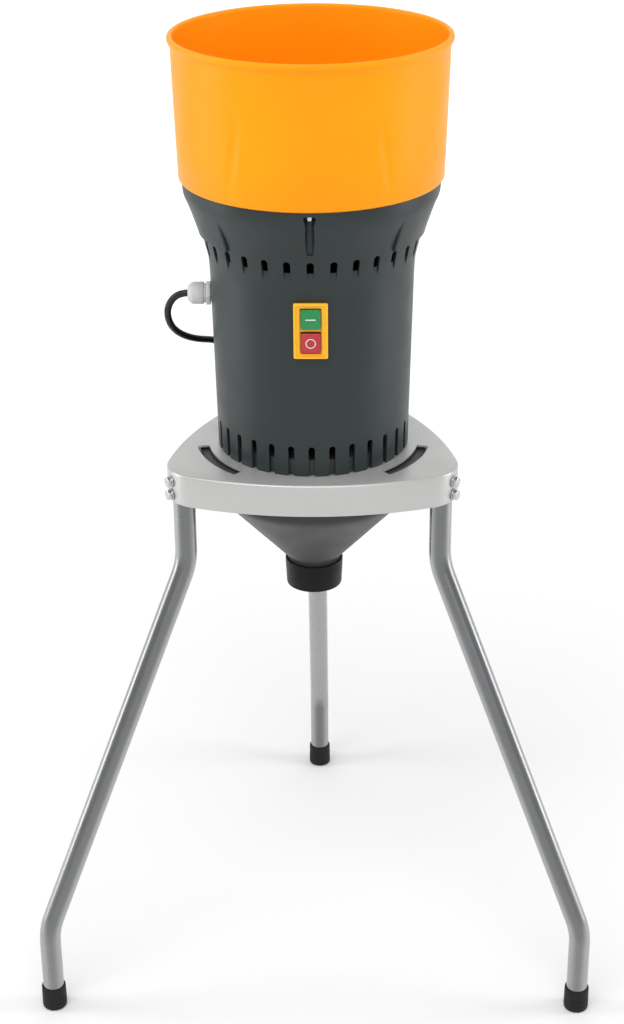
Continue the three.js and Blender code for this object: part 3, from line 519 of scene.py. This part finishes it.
# %% [markdown]
# ## Motor housing
# The housing is one thin-walled turning with a flared collar. A row of arched vents under the
# collar lets the motor breathe in, and a row of open slots at the plate lets the air out. At the
# left and right the collar swells into a lobe that ends in a small ledge. The vents are cut with
# one arch-shaped tool that a duplicating spin repeats thirty times.

# %% Housing shell
WALL = 3
housing_outline = [
    (95.6, 590.3), (96.5, 630), (97.6, 680), (98.8, 730), (99.6, 766), (100.1, 778), (100.9, 787),
    (102.2, 793), (103.8, 799), (105.0, 805), (106.2, 811), (108.2, 818), (111.2, 825.5),
    (115.2, 834), (119.6, 842.5), (122.4, 848.5), (123.6, 852.5), (124, 857), (124, 863.7),
]
inner_outline = [(radius - WALL, height) for radius, height in reversed(housing_outline)]
housing_shell = turned("housing_shell", housing_outline + inner_outline + housing_outline[:1], steps=240)

lobe_outline = [
    (103, 810.5), (108.6, 811.6), (109.8, 812.6), (110.3, 815), (116.0, 832), (120.6, 845), (122.6, 850.5),
    (123.9, 856), (123.9, 860), (122, 862), (112, 835), (103, 815), (103, 810.5),
]
LOBE_TURN = 88
for azimuth in (90, -90):
    lobe = closed_sector(turned("lobe", lobe_outline, steps=44, turn=LOBE_TURN), LOBE_TURN, azimuth)
    soften(lobe, 2.4, segments=5, sharper_than=50)
    carve(housing_shell, lobe, "UNION")
print("shell faces:", len(housing_shell.data.polygons))

# %% Screw bosses inside the collar
boss_outline = [(106, 821), (108.4, 821), (111.6, 828), (119.5, 845), (121.6, 852), (121.6, 862.5),
                (110, 862.5), (106, 860), (106, 821)]
boss_turn = 12
collar_boss = closed_sector(turned("collar_boss", boss_outline, steps=6, turn=boss_turn), boss_turn, 0)
carve(housing_shell, ring_of(collar_boss, 3), "UNION")

# %% Vents, grooves and openings
def arch_tool(name, width, bottom, top, radius, depth=40, vertices=16):
    """A radial prism at the front, arched at the top and flat at the bottom."""
    half = width / 2
    tool = start(name, "cylinder", vertices=vertices, radius=half * MM, depth=depth * MM,
                 location=place(radius, 0, top - half), rotation=(math.pi / 2, 0, 0))
    centre = (top - half) * MM
    edit(tool, "VERT", lambda spot, normal: spot.z < centre - 0.05 * MM)
    bpy.ops.transform.resize(value=(1, 1, 0), center_override=(0, AXIS_Y, centre))
    bpy.ops.transform.translate(value=(0, 0, (bottom - top + half) * MM))
    return done(tool)


def prism(name, size, where):
    """A block of a size in millimetres at a point in metres."""
    return start(name, "cube", size=1, location=where, scale=[side * MM for side in size])


carve(housing_shell, ring_of(arch_tool("upper_vents", 7, 799, 811, 100, depth=30), 30))
carve(housing_shell, ring_of(arch_tool("lower_vents", 6.2, 588, 621.5, 95, depth=30), 30))
carve(housing_shell, ring_of(prism("ramps", (7, 10, 12.4), place(106.6, 0, 793.2)), 30))
groove = start("screw_grooves", "cone", vertices=48, radius1=3 * MM, radius2=7 * MM, depth=44 * MM,
               location=place(115.2, 0, 839.5), rotation=(math.radians(15), 0, 0))
edit(groove, "FACE", lambda spot, normal: normal.z > 0.9)
bpy.ops.mesh.bevel(offset=2.6 * MM, segments=5)
carve(housing_shell, ring_of(done(groove), 3))
carve(housing_shell, prism("switch_opening", (27.6, 40, 50), place(98, 0, 743)))
gland_tool = start("gland_opening", "cylinder", vertices=24, radius=0.0083, depth=0.04,
                   location=place(100, -90, 745.3), rotation=(0, math.pi / 2, 0))
carve(housing_shell, gland_tool)
soften(housing_shell, 0, smooth_to=30)
dress(housing_shell, housing_abs, "housing_plastic", "housing")

# %% [markdown]
# ## Powder-coated sheet steel
# The plate is 2 mm sheet, pressed and coated in a silver powder paint. The metal flake in the
# paint makes it partly metallic, and the powder flows into a faint orange peel of about 2 mm.

# %% Plate finish
plate_paint = finish("silver_powder_coated_steel", "#C3C3C2", "#BBBBBA", roughness=0.34,
                     grain_mm=2.2, grain_depth_mm=0.015, mottle_mm=110, metallic=0.45, ior=1.5)

# %% [markdown]
# ## Stand plate
# The plate's outline is a rounded triangle: three corner arcs joined by three flatter arcs.
# Each arc is a spin of the last vertex about the arc's own centre, so the joints are smooth.
# The face is then extruded down into a skirt, the fold is bevelled, and a Solidify gives the
# sheet its thickness. Slots and holes are cut last, so their edges stay crisp.

# %% Plate
SKIRT = 32.5
CORNER_CENTRE = 120
CORNER_RADIUS = 40
SIDE_REACH = 118
across = CORNER_CENTRE * math.sin(math.radians(60))
along = CORNER_CENTRE * math.cos(math.radians(60))
side_radius = ((across ** 2 + (SIDE_REACH - along) ** 2 - CORNER_RADIUS ** 2)
               / (2 * (SIDE_REACH - along - CORNER_RADIUS)))
swing = math.degrees(math.atan2(across, side_radius - SIDE_REACH + along))
top = PLATE_TOP / MM
first = place(SIDE_REACH - side_radius, 0, top) + (place(side_radius, -swing, top) - place(0, 0, top))
stand_sheet = draw("stand_sheet", [first])
for side in range(3):
    middle = 120 * side
    bpy.ops.mesh.spin(steps=30, angle=-math.radians(2 * swing), axis=(0, 0, 1),
                      center=place(SIDE_REACH - side_radius, middle, top))
    bpy.ops.mesh.spin(steps=24, angle=-math.radians(2 * (60 - swing)), axis=(0, 0, 1),
                      center=place(CORNER_CENTRE, middle + 60, top))
bpy.ops.mesh.select_all(action="SELECT")
bpy.ops.mesh.remove_doubles(threshold=0.02 * MM)
bpy.ops.mesh.edge_face_add()
bpy.ops.mesh.extrude_region_move(TRANSFORM_OT_translate={"value": (0, 0, -SKIRT * MM)})
bpy.ops.mesh.delete(type="ONLY_FACE")
edit(stand_sheet, "FACE", lambda spot, normal: True)
bpy.ops.mesh.normals_make_consistent(inside=False)
edit(stand_sheet, "EDGE", lambda a, b: min(a.z, b.z) > PLATE_TOP - 0.1 * MM)
bpy.ops.mesh.bevel(offset=2.6 * MM, segments=5)
done(stand_sheet)
low, high = [[pick(v.co[i] for v in stand_sheet.data.vertices) / MM for i in range(3)]
             for pick in (min, max)]
print("plate sheet:", [round(value, 1) for value in low + high])
thicken(stand_sheet, 2, even=True)

# %% Slots and holes in the plate
SLOT_RADIUS = 112
SLOT_WIDTH = 12
SLOT_HALF = 20
LEG_BOLT_HEIGHTS = {"a": 578, "b": 564}
slot_inside = SLOT_RADIUS - SLOT_WIDTH / 2
slot_outside = SLOT_RADIUS + SLOT_WIDTH / 2
slot_outline = [(slot_inside, 585), (slot_outside, 585), (slot_outside, 593), (slot_inside, 593),
                (slot_inside, 585)]
band = turned("slot_band", slot_outline, steps=24, turn=2 * SLOT_HALF)
carve(stand_sheet, ring_of(closed_sector(band, 2 * SLOT_HALF, 180), 3))
holes = [start("hole", "cylinder", vertices=32, radius=0.012, depth=0.01, location=place(0, 0, 589)),
         start("hole", "cylinder", vertices=32, radius=0.0143, depth=0.01, location=place(60.5, 180, 589))]
carve(stand_sheet, joined(*holes))
leg_holes = [start("hole", "cylinder", vertices=16, radius=0.0033, depth=0.02,
                   location=place(159, 0, height), rotation=(math.pi / 2, 0, 0))
             for height in LEG_BOLT_HEIGHTS.values()]
leg_holes = copied(joined(*leg_holes), "leg_holes", turn=180)
bpy.data.objects.remove(bpy.data.objects["hole"], do_unlink=True)
carve(stand_sheet, ring_of(leg_holes, 3))
soften(stand_sheet, 0, smooth_to=28)
dress(stand_sheet, plate_paint, "plate_steel", "stand_plate")

# %% [markdown]
# ## Satin steel tube
# The legs are welded steel tube with a satin, lightly brushed finish. Brushing runs along the
# tube, so the grain is squeezed into long streaks: less than a millimetre across and several
# Real metal keeps its own reflectance, so no IOR is set. The tubes are darker down the middle
# and lighter at the sides, and that is painted light: a Layer Weight node knows how far the
# surface faces the camera and blends the two greys by that, a painted sheen in place of reflections.

# %% Leg finish
leg_steel = finish("satin_brushed_steel_tube", "#7D7E7F", "#737475", roughness=0.27, grain_mm=0.9,
                   grain_depth_mm=0.012, mottle_mm=70, metallic=0.92, spread=0.05, stretch=(1, 1, 0.03))
leg_shader = leg_steel.node_tree.nodes["Principled BSDF"]
face_on = leg_shader.inputs["Base Color"].links[0].from_socket
# Painted sheen: the tube's colour turns to a lighter grey where it is seen side on, standing in for
# reflections.
seen_side_on = node(leg_steel, "ShaderNodeLayerWeight", {"Blend": 0.5})
sheen = node(leg_steel, "ShaderNodeMapRange", {"From Min": 0.12, "From Max": 0.42},
             {"Value": seen_side_on.outputs["Facing"]}, interpolation_type="SMOOTHSTEP")
painted_sheen_blend = node(leg_steel, "ShaderNodeMix", {7: linear("#A9AAAB")}, {0: sheen.outputs["Result"], 6: face_on},
               data_type="RGBA")
leg_steel.node_tree.links.new(painted_sheen_blend.outputs[2], leg_shader.inputs["Base Color"])

# %% [markdown]
# ## Bent legs
# A leg is one length of 22 mm tube, bent twice. A circle is pushed along the route: straight
# runs are extrusions, and each bend is a spin about the centre of the bend. One leg is made at
# the back and copied to the two front corners.

# %% Legs
LEG_TOP = 587.7
LEG_CIRCLE = 146.7
FOOT_CIRCLE = 321
TUBE_RADIUS = 11
BEND_RADIUS = 70
UPPER_BEND = 486
LOWER_BEND = 98
LEG_FOOT = 3.3
slant = math.atan2(FOOT_CIRCLE - LEG_CIRCLE, UPPER_BEND - LOWER_BEND)
pull = BEND_RADIUS * math.tan(slant / 2)
slant_length = math.hypot(FOOT_CIRCLE - LEG_CIRCLE, UPPER_BEND - LOWER_BEND) - 2 * pull


def spun_bend(centre, sign):
    """One bend of a leg: eight steps about a level line through the centre of the bend."""
    bpy.ops.mesh.spin(steps=8, angle=sign * slant, center=centre, axis=(1, 0, 0))


leg_back = start("leg_tube_back", "circle", vertices=36, radius=TUBE_RADIUS * MM,
                 location=place(LEG_CIRCLE, 180, LEG_TOP))
edit(leg_back, "EDGE", lambda a, b: True)
bpy.ops.mesh.extrude_region_move(
    TRANSFORM_OT_translate={"value": (0, 0, (UPPER_BEND + pull - LEG_TOP) * MM)})
spun_bend(place(LEG_CIRCLE + BEND_RADIUS, 180, UPPER_BEND + pull), -1)
bpy.ops.mesh.extrude_region_move(TRANSFORM_OT_translate={
    "value": (0, slant_length * math.sin(slant) * MM, -slant_length * math.cos(slant) * MM)})
spun_bend(place(FOOT_CIRCLE - BEND_RADIUS, 180, LOWER_BEND - pull), 1)
bpy.ops.mesh.extrude_region_move(
    TRANSFORM_OT_translate={"value": (0, 0, (LEG_FOOT - LOWER_BEND + pull) * MM)})
bpy.ops.mesh.select_all(action="SELECT")
bpy.ops.mesh.normals_make_consistent(inside=False)
thicken(leg_back, 1.5)
soften(leg_back, 0, smooth_to=40)
foot_end = min(leg_back.data.vertices, key=lambda vertex: vertex.co.z).co
print("foot end:", [round(value / MM, 1) for value in foot_end])
for number, leg in three_of(leg_back, "leg_tube").items():
    dress(leg, leg_steel, "leg_steel", f"leg_{number}")

# %% [markdown]
# ## Foot caps
# Each foot is a moulded black rubber cap pushed over the tube. Rubber like this is matt, and
# its mould leaves it faintly pitted. The cap is turned in one outline: a chamfered sole, a
# slightly drafted wall with two shallow grip grooves, and a rolled top edge.

# %% Rubber finish and caps
cap_rubber = finish("moulded_black_rubber", "#0F0F0F", "#0B0B0B", roughness=0.6, grain_mm=1.2,
                    grain_depth_mm=0.03, mottle_mm=25, ior=1.52, gloss=0.3)
cap_outline = [(0, 0), (11.2, 0), (12.6, 1.1), (12.9, 2.6), (12.9, 7.2), (12.45, 7.7), (12.45, 8.6),
               (12.9, 9.1), (12.9, 12.2), (12.45, 12.7), (12.45, 13.6), (12.85, 14.1), (12.7, 25),
               (12.4, 26.1), (11.8, 26.5), (11.3, 26.1), (11.3, 3), (0, 3), (0, 0)]
cap_back = turned("foot_cap_back", cap_outline, steps=64, centre=place(FOOT_CIRCLE, 180, 0))
soften(cap_back, 0)
for number, cap in three_of(cap_back, "foot_cap").items():
    dress(cap, cap_rubber, "rubber", f"foot_cap_{number}")

# %% [markdown]
# ## Zinc-plated bolts
# The screws and bolts are bright zinc plate: a hard metallic shine with a faint cloudy bloom a
# few millimetres wide. A hexagon head starts as a six-sided cylinder. Its outer face is inset
# and pushed out, which makes the chamfer that every pressed hexagon has.

# %% Bolt finish
zinc_plate = finish("bright_zinc_plate", "#CED0D2", "#B9BCC0", roughness=0.26, grain_mm=1.0,
                    grain_depth_mm=0.006, mottle_mm=6, metallic=1.0, spread=0.08)

# %% Bolts
def hexagon_bolt(name, shank, length, washer, head, height):
    """A bolt along +Y from the origin: the washer's seat is at y = 0 and the shank goes to -Y."""
    parts = [start("bolt_shank", "cylinder", vertices=20, radius=shank * MM, depth=length * MM,
                   location=(0, -length / 2 * MM, 0), rotation=(math.pi / 2, 0, 0))]
    plate = start("bolt_washer", "cylinder", vertices=36, radius=washer * MM, depth=1.2 * MM,
                  location=(0, 0.6 * MM, 0), rotation=(math.pi / 2, 0, 0))
    parts.append(soften(plate, 0.25, segments=2))
    hexagon = start(name, "cylinder", vertices=6, radius=head * MM, depth=height * MM,
                    location=(0, (1.2 + height / 2) * MM, 0), rotation=(math.pi / 2, 0, 0))
    edit(hexagon, "FACE", lambda spot, normal: normal.y > 0.9)
    bpy.ops.mesh.inset(thickness=0.7 * MM)
    bpy.ops.transform.translate(value=(0, 0.45 * MM, 0))
    bpy.ops.mesh.inset(thickness=1.4 * MM)
    bpy.ops.transform.translate(value=(0, -0.3 * MM, 0))
    soften(done(hexagon), 0.3, segments=2, sharper_than=20)
    return joined(hexagon, *parts)


BOLT_SEAT = 160.3
leg_bolt = hexagon_bolt("leg_bolt_pattern", 3, 30, 5.9, 5.5, 3.5)
for number, azimuth in ((1, -60), (2, 60), (3, 180)):
    for letter, height in LEG_BOLT_HEIGHTS.items():
        bolt = copied(leg_bolt, f"corner_bolt_{number}{letter}")
        bolt.matrix_world = (Matrix.Translation(place(BOLT_SEAT, azimuth, height))
                             @ Matrix.Rotation(math.radians(azimuth - 180), 4, "Z"))
        dress(done(bolt), zinc_plate, "zinc_steel", f"leg_bolt_{number}{letter}")
bpy.data.objects.remove(leg_bolt, do_unlink=True)

# %% [markdown]
# ## Hopper screws
# Three pan head screws hold the hopper down. Each is driven upwards from the top of its groove
# in the collar, so only the rounded head shows there.

# %% Screws
screw_outline = [(0, 1.4), (1.6, 1.4), (1.8, 0.5), (2.8, 0.8), (3.8, 1.7), (4.2, 3.2), (4.2, 5.2),
                 (2.5, 5.4), (2.5, 20), (1.9, 21.4), (0, 21.6), (0, 0)]
for number, azimuth in ((1, 0), (2, 120), (3, 240)):
    screw = turned(f"pan_screw_{number}", screw_outline, steps=32, centre=place(118, azimuth, 854.2))
    soften(screw, 0.15, segments=2)
    dress(screw, zinc_plate, "zinc_steel", f"hopper_screw_{number}")

# %% [markdown]
# ## Funnel and spout
# The funnel is satin dark grey polypropylene, and the spout is the same plastic filled with
# carbon black, so it is darker and a little rougher. Fine meal has dulled both. They are plain
# turnings, with the rounded shoulder under the collar that a mould needs.

# %% Funnel finish
funnel_plastic = finish("satin_grey_polypropylene", "#37373A", "#303033", roughness=0.4, grain_mm=1.4,
                        grain_depth_mm=0.02, mottle_mm=60, ior=1.49, gloss=0.35)
spout_plastic = finish("carbon_black_polypropylene", "#0B0B0C", "#080809", roughness=0.45, grain_mm=1.2,
                       grain_depth_mm=0.02, mottle_mm=30, ior=1.49, gloss=0.2)

# %% Funnel and spout
funnel_outline = [
    (79.5, 585.9), (114.2, 585.9), (114.5, 585.5), (114.5, 584.2), (114.2, 583.9), (101.6, 583.9),
    (101, 583.3), (101, 543), (100.5, 541), (98.8, 538), (96.2, 534.6), (92.5, 530.5),
    (28.6, 461.5), (27.6, 459.2),
    (27.25, 456), (27.25, 447), (25.3, 447), (25.3, 458), (26.6, 462), (90.5, 532.2), (97, 540),
    (98.8, 544), (98.8, 583.9), (79.5, 583.9), (79.5, 585.9),
]
funnel_cone = turned("funnel_cone", funnel_outline, steps=144)
soften(funnel_cone, 0)
dress(funnel_cone, funnel_plastic, "funnel_plastic", "funnel")
spout_outline = [(28.0, 456.7), (29.4, 456.7), (29.8, 456.2), (29.75, 452), (28.6, 429),
                 (28.2, 427.9), (27.6, 427.7), (26.9, 428.2), (26.8, 429), (27.9, 452), (28.0, 456.7)]
spout_sleeve = turned("spout_sleeve", spout_outline, steps=96)
soften(spout_sleeve, 0)
dress(spout_sleeve, spout_plastic, "rubber", "spout")

# %% [markdown]
# ## Push-button switch
# The switch is a standard two-button block with a yellow frame, which marks an emergency stop.
# The frame is glossy moulded ABS. It starts as a block whose corners are bevelled and whose
# edges a fine bevel rounds; a second, smaller block cuts the well for the buttons, and a third cuts a
# shallow lip.

# %% Switch finishes
switch_yellow = finish("glossy_yellow_abs", "#FFBE08", "#F8B400", roughness=0.3, grain_mm=1.0,
                       grain_depth_mm=0.004, mottle_mm=15, ior=1.53, spread=0.04)
button_green = finish("glossy_green_abs", "#108C4C", "#0D8245", roughness=0.28, grain_mm=1.0,
                      grain_depth_mm=0.004, mottle_mm=12, ior=1.53, spread=0.04)
button_red = finish("glossy_red_abs", "#BC2A36", "#B0242F", roughness=0.28, grain_mm=1.0,
                    grain_depth_mm=0.004, mottle_mm=12, ior=1.53, spread=0.04)
mark_white = finish("pad_printed_white_ink", "#EFE9E4", "#E2DCD6", roughness=0.5, grain_mm=0.5,
                    grain_depth_mm=0.004, mottle_mm=4, spread=0.05)

# %% Switch frame and buttons
frame_low, frame_high = (Vector(corner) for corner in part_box("switch_frame"))
frame_middle = (frame_low + frame_high) / 2


def rounded_block(name, size, where, corner, edge):
    """A block whose upright corners, seen from the front, have one radius and its edges a finer one."""
    block = prism(name, size, where)
    edit(block, "EDGE", lambda a, b: (a - b).normalized().y ** 2 > 0.9)
    bpy.ops.mesh.bevel(offset=corner * MM, segments=6)
    done(block)
    return soften(block, edge, segments=3) if edge else block


depth = (frame_high.y - frame_low.y) / MM
switch_bezel = rounded_block("switch_bezel", (32.4, depth, 54.6), frame_middle, 1.6, 0.6)
carve(switch_bezel, rounded_block("well", (21, 3 * depth, 45.4), frame_middle, 0.8, 0))
lip = rounded_block("lip", (28.2, 2.4, 50.6), frame_middle - Vector((0, (depth / 2) * MM, 0)), 1.2, 0)
carve(switch_bezel, lip)
soften(switch_bezel, 0)
dress(switch_bezel, switch_yellow, "switch_yellow", "switch_frame")

for name, shade, material in (("start", "green", button_green), ("stop", "red", button_red)):
    low, high = (Vector(corner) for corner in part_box(f"{name}_button"))
    middle = (low + high) / 2
    size = [(b - a) / MM for a, b in zip(low, high)]
    size = [size[0] - 0.2, size[1] - 0.9, size[2] - 1.2]
    raised_by = 0.35 if name == "start" else -0.35
    middle = middle + Vector((0, 0.15 * MM, raised_by * MM))
    push = rounded_block(f"{name}_push", size, middle, 1.3, 0)
    edit(push, "FACE", lambda spot, normal: normal.y < -0.9)
    bpy.ops.mesh.inset(thickness=0.35 * MM)
    bpy.ops.transform.translate(value=(0, -0.3 * MM, 0))
    bpy.ops.mesh.inset(thickness=0.3 * MM)
    bpy.ops.transform.translate(value=(0, 0.4 * MM, 0))
    soften(done(push), 0)
    dress(push, material, f"button_{shade}", f"{name}_button", body=f"{name}_button")
    face = Vector((middle.x, low.y + 0.35 * MM, middle.z))
    if name == "start":
        mark = rounded_block("start_mark", (9.6, 0.5, 1.0), face, 0.3, 0)
    else:
        mark = start("stop_mark", "torus", major_radius=4.4 * MM, minor_radius=0.42 * MM, major_segments=48,
                     minor_segments=10, location=face, rotation=(math.pi / 2, 0, 0))
        edit(mark, "VERT", lambda spot, normal: True)
        bpy.ops.transform.resize(value=(1, 0.5, 1), center_override=face)
        soften(done(mark), 0)
    dress(mark, mark_white, f"button_{shade}", body=f"{name}_button")

# %% [markdown]
# ## Cable gland
# The gland is light grey nylon: a hexagon screwed into the housing and a domed nut that squeezes
# a seal round the cord. Nylon is slightly translucent and takes a soft sheen. The nut is turned
# about the cord's line, and grip flutes are made by drawing every third row of its rim inwards.

# %% Gland finish and shape
gland_nylon = finish("light_grey_nylon", "#CBCBCA", "#C2C2C1", roughness=0.42, grain_mm=0.8,
                     grain_depth_mm=0.01, mottle_mm=10, ior=1.53, spread=0.05)
gland_nylon.node_tree.nodes["Principled BSDF"].inputs["Subsurface Weight"].default_value = 0.05
gland_nylon.node_tree.nodes["Principled BSDF"].inputs["Subsurface Scale"].default_value = 0.002
gland_low, gland_high = (Vector(corner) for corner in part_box("cable_gland"))
gland_middle = (gland_low + gland_high) / 2
tip = gland_low.x / MM
gland_outline = [
    (4.1, 0.0), (6.2, 0.0), (7.4, 0.5), (9.0, 1.9), (10.3, 3.6), (11.0, 5.4), (11, 15.2),
    (10.6, 15.8), (9.6, 16.2), (9.6, 17.4), (8.0, 17.4), (8.0, 32.4), (4.1, 32.4), (4.1, 0.0),
]
dome = turned("gland_nut", [(radius, tip + along) for radius, along in gland_outline], steps=72,
              centre=Vector((0, gland_middle.y, gland_middle.z)), axis="X")


def in_flute(spot, normal):
    """Every third row of the nut's rim."""
    turn = math.degrees(math.atan2(spot.z - gland_middle.z, spot.y - gland_middle.y)) % 15
    radius = math.hypot(spot.z - gland_middle.z, spot.y - gland_middle.y)
    return radius > 10.5 * MM and (turn < 2 or turn > 13)


edit(dome, "VERT", in_flute)
bpy.ops.transform.resize(value=(1, 0.955, 0.955), center_override=(0, gland_middle.y, gland_middle.z))
soften(done(dome), 0, smooth_to=40)
hexagon = start("gland_body", "cylinder", vertices=6, radius=0.012, depth=0.0046,
                location=((tip + 20.3) * MM, gland_middle.y, gland_middle.z), rotation=(0, math.pi / 2, 0))
soften(hexagon, 0.5, segments=3, sharper_than=20)
gland_piece = joined(dome, hexagon)
dress(gland_piece, gland_nylon, "gland_plastic", "cable_gland")

# %% [markdown]
# ## Cord, plug and tie
# The sheath is extruded PVC. Extrusion leaves it smooth with a dull sheen and very faint rings
# where the line's speed changes. The plug is the same PVC, moulded over the pins, with a ribbed
# boot that bends with the cord. A nylon tie holds the coil together at the back.

# %% Cord finish
cord_sheath = finish("extruded_black_pvc", "#0E0E0E", "#0A0A0A", roughness=0.4, grain_mm=0.8,
                     grain_depth_mm=0.01, mottle_mm=30, ior=1.53, gloss=0.4)
mains_cord.data.materials.append(cord_sheath)
plug_pvc = finish("moulded_black_pvc", "#1B1B1B", "#151515", roughness=0.55, grain_mm=0.9,
                  grain_depth_mm=0.02, mottle_mm=20, ior=1.53)
pin_nickel = finish("nickel_plated_brass", "#D2CEC4", "#C3BFB3", roughness=0.22, grain_mm=0.8,
                    grain_depth_mm=0.003, mottle_mm=5, metallic=1.0)
tie_nylon = finish("black_nylon_strap", "#1C1C1C", "#141414", roughness=0.38, grain_mm=0.6,
                   grain_depth_mm=0.01, mottle_mm=8, ior=1.53)

# %% Plug
plug_low, plug_high = (Vector(corner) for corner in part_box("plug"))
plug_middle = (plug_low + plug_high) / 2
boot = plug_low.x / MM
plug_outline = [(0, 0), (4.1, 0), (4.5, 0.6)]
for rib in range(4):
    at = 1.6 + 2.5 * rib
    radius = 4.6 + 0.5 * rib
    plug_outline += [(radius, at), (radius + 0.5, at + 0.4), (radius + 0.5, at + 1.2),
                     (radius - 0.2, at + 1.7)]
plug_outline += [(7.0, 11.6), (11.5, 13.2), (14.6, 15.6), (16.4, 19), (16.2, 23), (15.4, 27), (15.4, 31),
                 (16.2, 35), (17.6, 39), (18, 42), (18, 46.6), (17.3, 47.7), (16.4, 48), (0, 48), (0, 0)]
plug_body = turned("mains_plug", [(radius, boot + along) for radius, along in plug_outline], steps=72,
                   centre=Vector((0, plug_middle.y, plug_middle.z)), axis="X")
soften(plug_body, 0)
dress(plug_body, plug_pvc, "cord_plastic", "plug")
pins = []
for side in (-9.5, 9.5):
    pin_outline = [(0, 47), (2.4, 47), (2.4, 65.2), (2.0, 66.4), (1.1, 66.95), (0, 67), (0, 47)]
    pins.append(turned("plug_pins", [(radius, boot + along) for radius, along in pin_outline], steps=24,
                       centre=Vector((0, plug_middle.y + side * MM, plug_middle.z)), axis="X"))
plug_pins = soften(joined(*pins), 0)
dress(plug_pins, pin_nickel, "zinc_steel")

# %% Coil tie
coil_low, coil_high = (Vector(corner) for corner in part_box("cord_coil"))
bundle = Vector((0, coil_high.y - 4 * MM, (coil_low.z + coil_high.z) / 2))
tall = (coil_high.z - coil_low.z) / MM
coil_tie = prism("coil_tie", (3.6, 10.2, tall + 2.6), bundle)
edit(coil_tie, "FACE", lambda spot, normal: abs(normal.x) > 0.9)
bpy.ops.mesh.delete(type="FACE")
edit(coil_tie, "EDGE", lambda a, b: abs((a - b).normalized().x) > 0.9)
bpy.ops.mesh.bevel(offset=2.8 * MM, segments=5)
thicken(coil_tie, 1.0)
soften(coil_tie, 0.2, segments=2)
buckle = rounded_block("buckle", (5.4, 3.2, 6.5), bundle + Vector((0, 6.2 * MM, 6 * MM)), 0.8, 0.4)
coil_tie = joined(coil_tie, buckle)
dress(coil_tie, tie_nylon, "cord_plastic")

# %% [markdown]
# ## The hidden machinery
# The motor, sieve and hammers stay as the CAD made them, because none of them shows. They
# still get real finishes: castings are rough and dark, machined faces carry turning marks, and
# copper shows only at the commutator and the brushes.

# %% Machinery finishes
cast_iron = finish("sand_cast_iron", "#4A4C4E", "#3E4042", roughness=0.62, grain_mm=1.8,
                   grain_depth_mm=0.08, mottle_mm=20, metallic=0.6)
turned_steel = finish("turned_steel", "#94989C", "#84888C", roughness=0.36, grain_mm=0.8,
                      grain_depth_mm=0.01, mottle_mm=15, metallic=1.0, stretch=(1, 1, 12))
bare_copper = finish("bare_copper", "#B8703F", "#A5612F", roughness=0.34, grain_mm=0.8,
                     grain_depth_mm=0.008, mottle_mm=8, metallic=1.0)
hardened_steel = finish("ground_hammer_steel", "#8B8F93", "#74787C", roughness=0.32, grain_mm=0.7,
                        grain_depth_mm=0.012, mottle_mm=12, metallic=1.0, stretch=(0.2, 0.2, 1))
by_slot = {
    "cast_shield": cast_iron, "machined_steel": turned_steel, "copper": bare_copper,
    "zinc_steel": zinc_plate, "housing_plastic": housing_abs, "switch_yellow": switch_yellow,
}
for part in frame["record"]["subparts"]:
    name, slot_name = part["node"], part["material_slot"]
    is_hammer = name.startswith("hammer_") and "pin" not in name
    material = hardened_steel if is_hammer else by_slot.get(slot_name)
    if material:
        kept = frame["nodes"][name]
        kept.data.materials.clear()
        kept.data.materials.append(material)
print("kept CAD nodes dressed by slot:", sorted(by_slot))

# %% [markdown]
# ## Finish
# The view layer is updated, so every piece's place is current.

# %% Update
bpy.context.view_layer.update()
